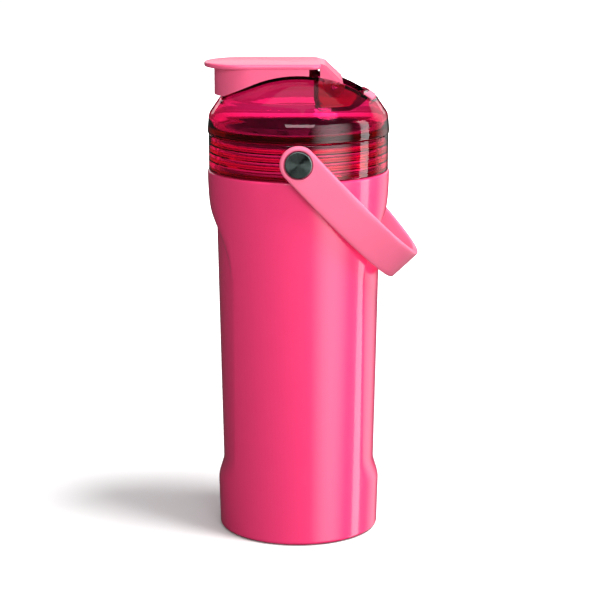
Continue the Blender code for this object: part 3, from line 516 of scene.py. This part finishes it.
def bowLine():
    # the strap's middle line from one pivot round to the other, with its length at each point
    look = handleLook
    reach, span = look["reach"] + look["thickness"] / 2, look["halfSpan"] + look["thickness"] / 2
    power = 2 / look["power"]
    line = []
    for i in range(721):
        a = -pi / 2 + pi * i / 720
        side = 1 if a > 0 else -1
        line.append(Vector((reach * abs(cos(a)) ** power, span * side * abs(sin(a)) ** power, 0)))
    lengths = [0.0]
    for a, b in zip(line, line[1:]):
        lengths.append(lengths[-1] + (b - a).length)
    return line, lengths


def makeHandle():
    look = handleLook
    line, lengths = bowLine()
    total, half = lengths[-1], look["halfWidth"]

    def bend(s, width, out):
        # s along the strap, width across it, out towards its outer face
        if s <= 0 or s >= total:
            end, slope = (line[0], Vector((-1, 0, 0))) if s <= 0 else (line[-1], Vector((-1, 0, 0)))
            point = end + slope * (-s if s <= 0 else s - total)
            outward = Vector((0, -1 if s <= 0 else 1, 0))
            return point + outward * out + Vector((0, 0, width))
        low, high = 0, len(lengths) - 1
        while high - low > 1:
            middle = (low + high) // 2
            low, high = (middle, high) if lengths[middle] <= s else (low, middle)
        share = (s - lengths[low]) / max(lengths[high] - lengths[low], 1e-9)
        before, after = line[max(low - 3, 0)], line[min(high + 3, len(line) - 1)]
        slope = (after - before).normalized()
        point = line[low].lerp(line[high], share)
        return point + Vector((slope.y, -slope.x, 0)) * out + Vector((0, 0, width))

    ends = 22
    stations = [(-half * cos(pi / 2 * i / ends), sin(pi / 2 * i / ends)) for i in range(ends)]
    stations += [(total * i / look["stations"], 1) for i in range(look["stations"] + 1)]
    stations += [(total + half * sin(pi / 2 * i / ends), cos(pi / 2 * i / ends)) for i in range(1, ends + 1)]
    layers = []
    for k in range(7):
        turn = pi * k / 6
        inset = look["edge"] * (1 - sin(turn))
        lift = look["thickness"] / 2 - look["edge"] if turn <= pi / 2 else look["edge"] - look["thickness"] / 2
        layers.append((inset, lift + look["edge"] * cos(turn)))
    shape = bmesh.new()
    loops = []
    for inset, out in layers:
        loop = []
        for sign in (1, -1):
            walk = stations if sign > 0 else stations[-2:0:-1]
            for s, share in walk:
                centre = min(max(s, 0), total)
                pull = 1 - inset / half
                along = centre + (s - centre) * pull
                loop.append(shape.verts.new(bend(along, sign * share * half * pull, out) * mm))
        loops.append(loop)
    count = len(loops[0])
    for outer, inner in zip(loops, loops[1:]):
        for i in range(count):
            j = (i + 1) % count
            shape.faces.new((outer[i], outer[j], inner[j], inner[i]))
    last = len(stations) - 1
    for loop, out in ((loops[0], layers[0][1]), (loops[-1], layers[-1][1])):
        rows = []
        pull = 1 - layers[0][0] / half
        for i in range(last + 1):
            if i in (0, last):
                rows.append([loop[i]])
                continue
            s, share = stations[i]
            centre = min(max(s, 0), total)
            along = centre + (s - centre) * pull
            middle = [shape.verts.new(bend(along, share * half * pull * (1 - 2 * k / look["across"]), out) * mm)
                      for k in range(1, look["across"])]
            rows.append([loop[i]] + middle + [loop[count - i]])
        for a, b in zip(rows, rows[1:]):
            if len(a) == 1 or len(b) == 1:
                tip, row = (a[0], b) if len(a) == 1 else (b[0], a)
                for p, q in zip(row, row[1:]):
                    shape.faces.new((tip, p, q))
            else:
                for k in range(look["across"]):
                    shape.faces.new((a[k], a[k + 1], b[k + 1], b[k]))
    obj = link(meshFrom(shape, "bailStrap"), "bailStrap")
    web = look["halfSpan"] + look["thickness"] - look["depth"]
    for side in (-1, 1):
        combine(obj, rod("recess", look["counterbore"], (0, side * web, 0), (0, side * (web + 5), 0), 96))
        combine(obj, rod("strapHole", look["hole"], (0, side * (web - 5), 0), (0, side * (web + 1), 0), 48))
    hang = Matrix.Translation((0, 0, pivotHeight * mm)) @ Matrix.Rotation(radians(look["tilt"]), 4, "Y")
    obj.data.transform(hang)
    obj.data.set_sharp_from_angle(angle=radians(40))
    return obj


stand(makeHandle(), "bail", "strap_pink", "handle")
print("handle made")

# Pivot buttons: spun discs with a fine rolled edge
buttonLook = {"radius": 6.5, "edge": 0.45, "skirt": 1.6, "dish": 0.12}


def makeButton(name, side, replaced):
    look = buttonLook
    outer, radius = max(abs(buttonHigh.y), abs(buttonLow.y)), look["radius"]
    profile = [(0, outer - look["dish"]), (radius * 0.5, outer - look["dish"] * 0.7),
               (radius - 0.9, outer - 0.02)]
    profile += arc(radius - look["edge"], outer - look["edge"], look["edge"], 90, 0, 6)
    profile += [(radius, outer - look["skirt"]), (radius - 1.2, outer - look["skirt"]),
                (radius - 1.2, outer - 0.7), (0, outer - 0.7)]
    button = turned(name, profile, 96)
    lift = Matrix.Translation((0, 0, pivotHeight * mm))
    button.data.transform(lift @ Matrix.Rotation(-side * pi / 2, 4, "X"))
    return stand(button, "lid", "spun_steel", replaced)


makeButton("spunButtonFront", -1, "handle_button_front")
makeButton("spunButtonRear", 1, "handle_button_rear")

# Mouth gasket: a moulded ring with two sealing ribs
gasketLook = {"inner": 37.3, "outer": 41.0, "rib": 0.25}


def makeGasket():
    look = gasketLook
    low, high = gasketLow.z, gasketHigh.z
    inner, outer = look["inner"], look["outer"]
    middle = (low + high) / 2
    profile = rounded([(inner, middle), (inner, high), (outer, high), (outer, middle + 0.5),
                       (outer - look["rib"], middle), (outer, middle - 0.5), (outer, low), (inner, low),
                       (inner, middle)], 0.35, 4)[:-1]
    return turned("gasketRing", profile, 160, closed=True)


stand(makeGasket(), "lid_carrier", "seal_dark", "mouth_gasket")
print("small pieces made")


# Shared finish effects
def newGroup(name, inputs, outputs):
    group = bpy.data.node_groups.new(name, "ShaderNodeTree")
    for label, kind, default in inputs:
        socket = group.interface.new_socket(name=label, in_out="INPUT", socket_type=kind)
        if default is not None:
            socket.default_value = default
    for label, kind in outputs:
        group.interface.new_socket(name=label, in_out="OUTPUT", socket_type=kind)
    return group, group.nodes.new("NodeGroupInput"), group.nodes.new("NodeGroupOutput")


def mathNode(tree, operation, a, b=None, clamp=False):
    node = tree.nodes.new("ShaderNodeMath")
    node.operation = operation
    node.use_clamp = clamp
    for socket, value in zip(node.inputs, (a, b)):
        if isinstance(value, bpy.types.NodeSocket):
            tree.links.new(value, socket)
        elif value is not None:
            socket.default_value = value
    return node.outputs[0]


def noise(tree, vector, scale, detail=2.0, roughness=0.5):
    node = tree.nodes.new("ShaderNodeTexNoise")
    node.inputs["Detail"].default_value = detail
    node.inputs["Roughness"].default_value = roughness
    tree.links.new(vector, node.inputs["Vector"])
    if isinstance(scale, bpy.types.NodeSocket):
        tree.links.new(scale, node.inputs["Scale"])
    else:
        node.inputs["Scale"].default_value = scale
    return node.outputs["Fac"]


def mixColour(tree, factor, a, b):
    node = tree.nodes.new("ShaderNodeMix")
    node.data_type = "RGBA"
    for socket, value in ((node.inputs[0], factor), (node.inputs[6], a), (node.inputs[7], b)):
        if isinstance(value, bpy.types.NodeSocket):
            tree.links.new(value, socket)
        else:
            socket.default_value = value
    return node.outputs[2]


def makeGrainGroup():
    # fine moulded or sprayed grain over a slow, faint variation
    inputs = [("Grain Scale", "NodeSocketFloat", 2500.0), ("Base Roughness", "NodeSocketFloat", 0.4),
              ("Roughness Variation", "NodeSocketFloat", 0.08), ("Wave", "NodeSocketFloat", 0.2)]
    outputs = [("Height", "NodeSocketFloat"), ("Roughness", "NodeSocketFloat"), ("Mottle", "NodeSocketFloat")]
    group, start, end = newGroup("fineGrain", inputs, outputs)
    spot = group.nodes.new("ShaderNodeTexCoord").outputs["Object"]
    grain = noise(group, spot, start.outputs["Grain Scale"], 3.0, 0.6)
    wave = noise(group, spot, 45.0, 2.0)
    slow = noise(group, spot, 90.0, 4.0, 0.6)
    height = mathNode(group, "ADD", grain, mathNode(group, "MULTIPLY", wave, start.outputs["Wave"]))
    change = mathNode(group, "SUBTRACT", slow, 0.5)
    change = mathNode(group, "MULTIPLY", change, start.outputs["Roughness Variation"])
    group.links.new(height, end.inputs["Height"])
    total = mathNode(group, "ADD", start.outputs["Base Roughness"], change, True)
    group.links.new(total, end.inputs["Roughness"])
    group.links.new(slow, end.inputs["Mottle"])
    return group


def makeWearGroup():
    # raised edges take a little wear, broken up by noise
    inputs = [("Amount", "NodeSocketFloat", 0.4), ("Start", "NodeSocketFloat", 0.53)]
    group, start, end = newGroup("edgeWear", inputs, [("Mask", "NodeSocketFloat")])
    point = group.nodes.new("ShaderNodeNewGeometry").outputs["Pointiness"]
    spot = group.nodes.new("ShaderNodeTexCoord").outputs["Object"]
    breakUp = noise(group, spot, 400.0, 5.0, 0.7)
    rise = mathNode(group, "SUBTRACT", point, start.outputs["Start"], True)
    rise = mathNode(group, "MULTIPLY", rise, 14.0, True)
    worn = mathNode(group, "MULTIPLY", rise, breakUp)
    group.links.new(mathNode(group, "MULTIPLY", worn, start.outputs["Amount"], True), end.inputs["Mask"])
    return group


def makeDustGroup():
    # a few specks that settle on upward faces
    inputs = [("Amount", "NodeSocketFloat", 0.15), ("Speck Scale", "NodeSocketFloat", 900.0)]
    group, start, end = newGroup("settledDust", inputs, [("Mask", "NodeSocketFloat")])
    geometry = group.nodes.new("ShaderNodeNewGeometry")
    split = group.nodes.new("ShaderNodeSeparateXYZ")
    group.links.new(geometry.outputs["Normal"], split.inputs[0])
    spot = group.nodes.new("ShaderNodeTexCoord").outputs["Object"]
    specks = noise(group, spot, start.outputs["Speck Scale"], 1.0)
    bright = mathNode(group, "MULTIPLY", mathNode(group, "SUBTRACT", specks, 0.66, True), 9.0, True)
    upward = mathNode(group, "MULTIPLY", split.outputs["Z"], bright, True)
    group.links.new(mathNode(group, "MULTIPLY", upward, start.outputs["Amount"], True), end.inputs["Mask"])
    return group


def makeBrushGroup():
    # fine lines turned round the bottle's axis
    inputs = [("Line Scale", "NodeSocketFloat", 2600.0), ("Base Roughness", "NodeSocketFloat", 0.25)]
    outputs = [("Height", "NodeSocketFloat"), ("Roughness", "NodeSocketFloat")]
    group, start, end = newGroup("turnedLines", inputs, outputs)
    spot = group.nodes.new("ShaderNodeTexCoord").outputs["Object"]
    squeeze = group.nodes.new("ShaderNodeMapping")
    squeeze.inputs["Scale"].default_value = (0, 0, 1)       # only height counts, so the lines are rings
    group.links.new(spot, squeeze.inputs["Vector"])
    lines = noise(group, squeeze.outputs[0], start.outputs["Line Scale"], 2.0, 0.6)
    group.links.new(lines, end.inputs["Height"])
    change = mathNode(group, "MULTIPLY", mathNode(group, "SUBTRACT", lines, 0.5), 0.12)
    total = mathNode(group, "ADD", start.outputs["Base Roughness"], change, True)
    group.links.new(total, end.inputs["Roughness"])
    return group


fineGrain, edgeWear = makeGrainGroup(), makeWearGroup()
settledDust, turnedLines = makeDustGroup(), makeBrushGroup()
print("finish effects made")


def place(tree, group, values):
    node = tree.nodes.new("ShaderNodeGroup")
    node.node_tree = group
    for key, value in values.items():
        node.inputs[key].default_value = value
    return node


def startMaterial(name, values):
    material = bpy.data.materials.new(name)
    material.use_nodes = True
    shader = material.node_tree.nodes["Principled BSDF"]
    for key, value in values.items():
        shader.inputs[key].default_value = value
    return material, material.node_tree, shader


def addBump(tree, shader, height, strength, distance):
    bump = tree.nodes.new("ShaderNodeBump")
    bump.inputs["Strength"].default_value = strength
    bump.inputs["Distance"].default_value = distance
    tree.links.new(height, bump.inputs["Height"])
    tree.links.new(bump.outputs[0], shader.inputs["Normal"])


def finishedPlastic(name, look):
    # an opaque finish: grain, a little mottle, worn edges and dust
    material, tree, shader = startMaterial(name, look["shader"])
    grain = place(tree, fineGrain, {"Grain Scale": look["grain"], "Base Roughness": look["roughness"],
                                    "Roughness Variation": look["variation"]})
    wear = place(tree, edgeWear, {"Amount": look["wear"]})
    dust = place(tree, settledDust, {"Amount": look["dust"]})
    colour = mixColour(tree, grain.outputs["Mottle"], look["shade"], look["colour"])
    colour = mixColour(tree, wear.outputs["Mask"], colour, look["wornColour"])
    colour = mixColour(tree, dust.outputs["Mask"], colour, (0.75, 0.72, 0.70, 1))
    tree.links.new(colour, shader.inputs["Base Color"])
    tree.links.new(grain.outputs["Roughness"], shader.inputs["Roughness"])
    addBump(tree, shader, grain.outputs["Height"], look["bump"], 0.00008)
    return material


coatLook = {
    "shader": {"Metallic": 0.0, "Coat Weight": 0.6, "Coat Roughness": 0.07, "IOR": 1.5},
    "colour": (0.93, 0.042, 0.180, 1), "shade": (0.90, 0.037, 0.170, 1), "wornColour": (0.95, 0.10, 0.24, 1),
    "grain": 1800.0, "roughness": 0.30, "variation": 0.06, "wear": 0.25, "dust": 0.04, "bump": 0.10,
}
coatPink = finishedPlastic("sprayedPinkCoat", coatLook)

strapLook = dict(coatLook, colour=(0.95, 0.165, 0.30, 1), shade=(0.93, 0.15, 0.28, 1),
                 wornColour=(0.98, 0.3, 0.42, 1), grain=2600.0, roughness=0.36, wear=0.3,
                 shader={"Coat Weight": 0.15, "Coat Roughness": 0.2, "IOR": 1.5})
strapPink = finishedPlastic("mouldedPinkStrap", strapLook)

capFinish = dict(strapLook, colour=(0.92, 0.115, 0.25, 1), shade=(0.90, 0.105, 0.235, 1),
                 wornColour=(0.97, 0.35, 0.45, 1), grain=3200.0, roughness=0.34, wear=0.3, dust=0.1,
                 shader={"Coat Weight": 0.5, "Coat Roughness": 0.25, "IOR": 1.5})
capPink = finishedPlastic("mouldedPinkCap", capFinish)

sealLook = dict(coatLook, colour=(0.045, 0.006, 0.012, 1), shade=(0.03, 0.004, 0.009, 1),
                wornColour=(0.09, 0.02, 0.03, 1), grain=1500.0, roughness=0.5, dust=0.05,
                shader={"Coat Weight": 0.0, "IOR": 1.43})
sealDark = finishedPlastic("darkSilicone", sealLook)

padLook = dict(sealLook, colour=(0.06, 0.06, 0.062, 1), shade=(0.045, 0.045, 0.048, 1),
               wornColour=(0.12, 0.12, 0.12, 1), grain=900.0, roughness=0.7, bump=0.5)
padDark = finishedPlastic("rubberPad", padLook)

nylonLook = dict(sealLook, colour=(0.10, 0.10, 0.11, 1), shade=(0.08, 0.08, 0.09, 1),
                 wornColour=(0.2, 0.2, 0.21, 1), roughness=0.42, shader={"Coat Weight": 0.0, "IOR": 1.53})
nylon = finishedPlastic("darkNylon", nylonLook)

clearLook = {"colour": (0.99, 0.60, 0.84, 1), "roughness": 0.02,
             "density": 820.0, "absorb": (0.86, 0.03, 0.47, 1)}


def makeClear(name, look):
    # clear tinted plastic: the tint deepens with the thickness
    material, tree, shader = startMaterial(name, {"Transmission Weight": 1.0, "IOR": 1.5, "Metallic": 0.0})
    grain = place(tree, fineGrain, {"Grain Scale": 700.0, "Base Roughness": look["roughness"],
                                    "Roughness Variation": 0.02, "Wave": 0.3})
    wear = place(tree, edgeWear, {"Amount": 0.2})
    lighter = tuple(min(c * 1.05, 1) for c in look["colour"])
    colour = mixColour(tree, grain.outputs["Mottle"], look["colour"], lighter)
    colour = mixColour(tree, wear.outputs["Mask"], colour, (0.95, 0.6, 0.7, 1))
    tree.links.new(colour, shader.inputs["Base Color"])
    tree.links.new(grain.outputs["Roughness"], shader.inputs["Roughness"])
    addBump(tree, shader, grain.outputs["Height"], 0.02, 0.0002)
    if look["density"]:
        depth = tree.nodes.new("ShaderNodeVolumeAbsorption")
        depth.inputs["Color"].default_value = look["absorb"]
        depth.inputs["Density"].default_value = look["density"]
        tree.links.new(depth.outputs[0], tree.nodes["Material Output"].inputs["Volume"])
    return material


tintedClear = makeClear("tintedClearPink", clearLook)
siliconeClear = makeClear("clearSilicone", {"colour": (0.92, 0.90, 0.88, 1), "roughness": 0.25, "density": 0.0,
                                            "absorb": (1, 1, 1, 1)})

steelLook = {"colour": (0.62, 0.61, 0.60, 1), "roughness": 0.24, "lines": 4200.0, "bump": 0.04}


def makeSteel(name, look):
    material, tree, shader = startMaterial(name, {"Metallic": 1.0})
    lines = place(tree, turnedLines, {"Line Scale": look["lines"], "Base Roughness": look["roughness"]})
    grain = place(tree, fineGrain, {"Grain Scale": 1200.0})
    wear = place(tree, edgeWear, {"Amount": 0.3})
    dark = tuple(c * 0.9 for c in look["colour"][:3]) + (1,)
    colour = mixColour(tree, grain.outputs["Mottle"], dark, look["colour"])
    colour = mixColour(tree, wear.outputs["Mask"], colour, (0.8, 0.79, 0.78, 1))
    tree.links.new(colour, shader.inputs["Base Color"])
    tree.links.new(lines.outputs["Roughness"], shader.inputs["Roughness"])
    addBump(tree, shader, lines.outputs["Height"], look["bump"], 0.00005)
    return material


steel = makeSteel("brushedSteel", steelLook)


def makeSpunSteel(name, look):
    # rings of fine cuts round the pivot give the crossed highlights
    material, tree, shader = startMaterial(name, {"Metallic": 1.0, "Anisotropic": look["stretch"]})
    tangent = tree.nodes.new("ShaderNodeTangent")
    tangent.direction_type = "RADIAL"
    tangent.axis = "Y"
    tree.links.new(tangent.outputs[0], shader.inputs["Tangent"])
    centre = tree.nodes.new("ShaderNodeMapping")
    centre.inputs["Location"].default_value = (0, 0, -pivotHeight * mm)
    centre.inputs["Scale"].default_value = (1, 0, 1)
    coordinates = tree.nodes.new("ShaderNodeTexCoord")
    tree.links.new(coordinates.outputs["Object"], centre.inputs["Vector"])
    length = tree.nodes.new("ShaderNodeVectorMath")
    length.operation = "LENGTH"
    tree.links.new(centre.outputs[0], length.inputs[0])
    flat = tree.nodes.new("ShaderNodeCombineXYZ")
    tree.links.new(length.outputs["Value"], flat.inputs["X"])
    rings = noise(tree, flat.outputs[0], look["rings"], 3.0, 0.7)
    grain = place(tree, fineGrain, {"Grain Scale": 1500.0, "Base Roughness": look["roughness"]})
    colour = mixColour(tree, rings, look["dark"], look["bright"])
    tree.links.new(colour, shader.inputs["Base Color"])
    tree.links.new(grain.outputs["Roughness"], shader.inputs["Roughness"])
    addBump(tree, shader, rings, 0.25, 0.00003)
    return material


spunSteel = makeSpunSteel("spunSteel", {"stretch": 0.96, "roughness": 0.22, "rings": 9000.0,
                                        "dark": (0.10, 0.14, 0.13, 1), "bright": (0.27, 0.34, 0.32, 1)})
print("materials made")

finishOf = {"coat_pink": coatPink, "strap_pink": strapPink, "cap_pink": capPink, "tinted_clear": tintedClear,
            "steel": steel, "spun_steel": spunSteel, "seal_dark": sealDark, "silicone_clear": siliconeClear,
            "pad_dark": padDark, "nylon": nylon}
for piece, slot in pieces:
    piece.data.materials.clear()
    piece.data.materials.append(finishOf[slot])

slotOfNode = {row["node"]: row["material_slot"] for row in frame["record"]["subparts"]}
for name, node in cad.items():
    finish = finishOf[slotOfNode[name]]
    if not node.material_slots:
        node.data.materials.append(finish)
    for holder in node.material_slots:
        holder.material = finish
print("finishes placed")


# Floor, light and camera
studio = {
    "floorSize": 6.0, "floorColour": (0.92, 0.92, 0.92, 1), "floorBounce": 0.3, "floorTiles": 8,
    "glowStart": 0.35, "glowRise": 1.6,
    "worldSeen": 1.0, "worldLight": 0.20, "worldGloss": 0.04,
    "sun": {"aside": 66, "height": 62, "strength": 3.8, "spread": 24},
    "lens": 128.07, "sensor": 36, "cameraPlace": (0.000765, -1.0469, 0.3548), "cameraTilt": 77.175,
}       # metres and degrees


def makeFloor():
    shape = bmesh.new()
    half = studio["floorSize"] / 2
    tiles = studio["floorTiles"]
    line = [half * (2 * i / tiles - 1) for i in range(tiles + 1)]
    rows = [[shape.verts.new((x, y, 0)) for x in line] for y in line]
    for low, high in zip(rows, rows[1:]):
        for i in range(tiles):
            shape.faces.new((low[i], low[i + 1], high[i + 1], high[i]))
    floor = link(meshFrom(shape, "paleFloor"), "paleFloor")
    material, tree, shader = startMaterial("paleFloor", {"Specular IOR Level": 0.1})
    grain = place(tree, fineGrain, {"Grain Scale": 400.0, "Base Roughness": 0.8})
    dark = tuple(c * 0.99 for c in studio["floorColour"][:3]) + (1,)
    path = tree.nodes.new("ShaderNodeLightPath")
    seen = mathNode(tree, "MAXIMUM", path.outputs["Is Camera Ray"], path.outputs["Is Transmission Ray"])
    seen = mathNode(tree, "MULTIPLY", seen, 1 - studio["floorBounce"])
    seen = mathNode(tree, "ADD", seen, studio["floorBounce"])
    bright = mixColour(tree, grain.outputs["Mottle"], dark, studio["floorColour"])
    tree.links.new(mixColour(tree, seen, (0, 0, 0, 1), bright), shader.inputs["Base Color"])
    tree.links.new(grain.outputs["Roughness"], shader.inputs["Roughness"])
    away = tree.nodes.new("ShaderNodeVectorMath")
    away.operation = "LENGTH"
    tree.links.new(tree.nodes.new("ShaderNodeTexCoord").outputs["Object"], away.inputs[0])
    glow = mathNode(tree, "SUBTRACT", away.outputs["Value"], studio["glowStart"])
    glow = mathNode(tree, "MULTIPLY", glow, studio["glowRise"], True)
    glow = mathNode(tree, "MULTIPLY", glow, seen)
    tree.links.new(mixColour(tree, glow, (0, 0, 0, 1), (1, 1, 1, 1)), shader.inputs["Emission Color"])
    shader.inputs["Emission Strength"].default_value = 1.0
    floor.data.materials.append(material)
    floor.visible_glossy = False       # keeps gloss on the bottle to the lamps alone


panels = [
    # name, where it stands, what it faces, width, height, power, fades at its sides
    ("rightStrip", (1.1, 0.02, 0.0), (0, 0, 0.0), 0.28, 1.6, 6.0, False),
    ("rightSoftbox", (0.95, -1.0, 0.15), (0, 0, 0.12), 1.5, 1.6, 24.0, True),
    ("frontFill", (0.05, -1.3, 0.80), (0, 0, 0.12), 0.9, 0.7, 9.5, False),
    ("rimPanel", (0.9, 0.9, 0.0), (0, 0, 0.05), 1.1, 1.6, 5.0, True),
    ("topSoftbox", (0.1, 0.1, 1.5), (0, 0, 0.1), 1.3, 1.3, 2.0, False),
    ("backPanel", (0.0, 2.0, 0.75), (0, 0, 0.23), 2.4, 0.7, 5.5, False),
]       # metres and watts


def addPanel(name, location, target, width, height, power):
    data = bpy.data.lights.new(name, "AREA")
    data.shape = "RECTANGLE"
    data.size, data.size_y = width, height
    data.energy = power
    lamp = bpy.data.objects.new(name, data)
    lamp.location = location
    lamp.rotation_euler = (Vector(target) - Vector(location)).to_track_quat("-Z", "Y").to_euler()
    scene.collection.objects.link(lamp)
    return lamp


def feather(lamp):
    # the panel fades to nothing at its two upright sides
    lamp.data.use_nodes = True
    tree = lamp.data.node_tree
    split = tree.nodes.new("ShaderNodeSeparateXYZ")
    tree.links.new(tree.nodes.new("ShaderNodeNewGeometry").outputs["Parametric"], split.inputs[0])
    across = split.outputs["X"]
    other = mathNode(tree, "SUBTRACT", 1, across)
    arch = mathNode(tree, "MULTIPLY", mathNode(tree, "MULTIPLY", across, other), 4)
    tree.links.new(mathNode(tree, "POWER", arch, 1.5), tree.nodes["Emission"].inputs["Strength"])


def addSun(name, aside, height, strength, spread):
    # aside turns it to the right of the camera's side, height is its elevation
    data = bpy.data.lights.new(name, "SUN")
    data.energy = strength
    data.angle = radians(spread)
    lamp = bpy.data.objects.new(name, data)
    towards = Vector((sin(radians(aside)) * cos(radians(height)), -cos(radians(aside)) * cos(radians(height)),
                      sin(radians(height))))
    lamp.location = towards * 2
    lamp.rotation_euler = towards.to_track_quat("Z", "Y").to_euler()
    lamp.visible_glossy = False       # gloss comes from the panels
    scene.collection.objects.link(lamp)


def makeWorld():
    world = bpy.data.worlds.new("studio")
    world.use_nodes = True
    tree = world.node_tree
    back = tree.nodes["Background"]
    back.inputs["Color"].default_value = (1, 1, 1, 1)
    path = tree.nodes.new("ShaderNodeLightPath")
    clear = mathNode(tree, "MAXIMUM", path.outputs["Is Camera Ray"], path.outputs["Is Transmission Ray"])
    seen = mathNode(tree, "MULTIPLY", clear, studio["worldSeen"])
    fill = mathNode(tree, "MULTIPLY", path.outputs["Is Diffuse Ray"], studio["worldLight"])
    total = mathNode(tree, "ADD", mathNode(tree, "ADD", seen, fill), studio["worldGloss"])
    tree.links.new(total, back.inputs["Strength"])
    scene.world = world


makeFloor()
makeWorld()
addSun("keySun", **studio["sun"])
for *panel, fades in panels:
    lamp = addPanel(*panel)
    if fades:
        feather(lamp)

camera = bpy.data.objects.new("camera", bpy.data.cameras.new("camera"))
camera.data.lens = studio["lens"]
camera.data.sensor_width = studio["sensor"]
camera.location = studio["cameraPlace"]
camera.rotation_euler = (radians(studio["cameraTilt"]), 0, 0)
scene.collection.objects.link(camera)
scene.camera = camera
scene.view_settings.view_transform = "Standard"
print("studio made")
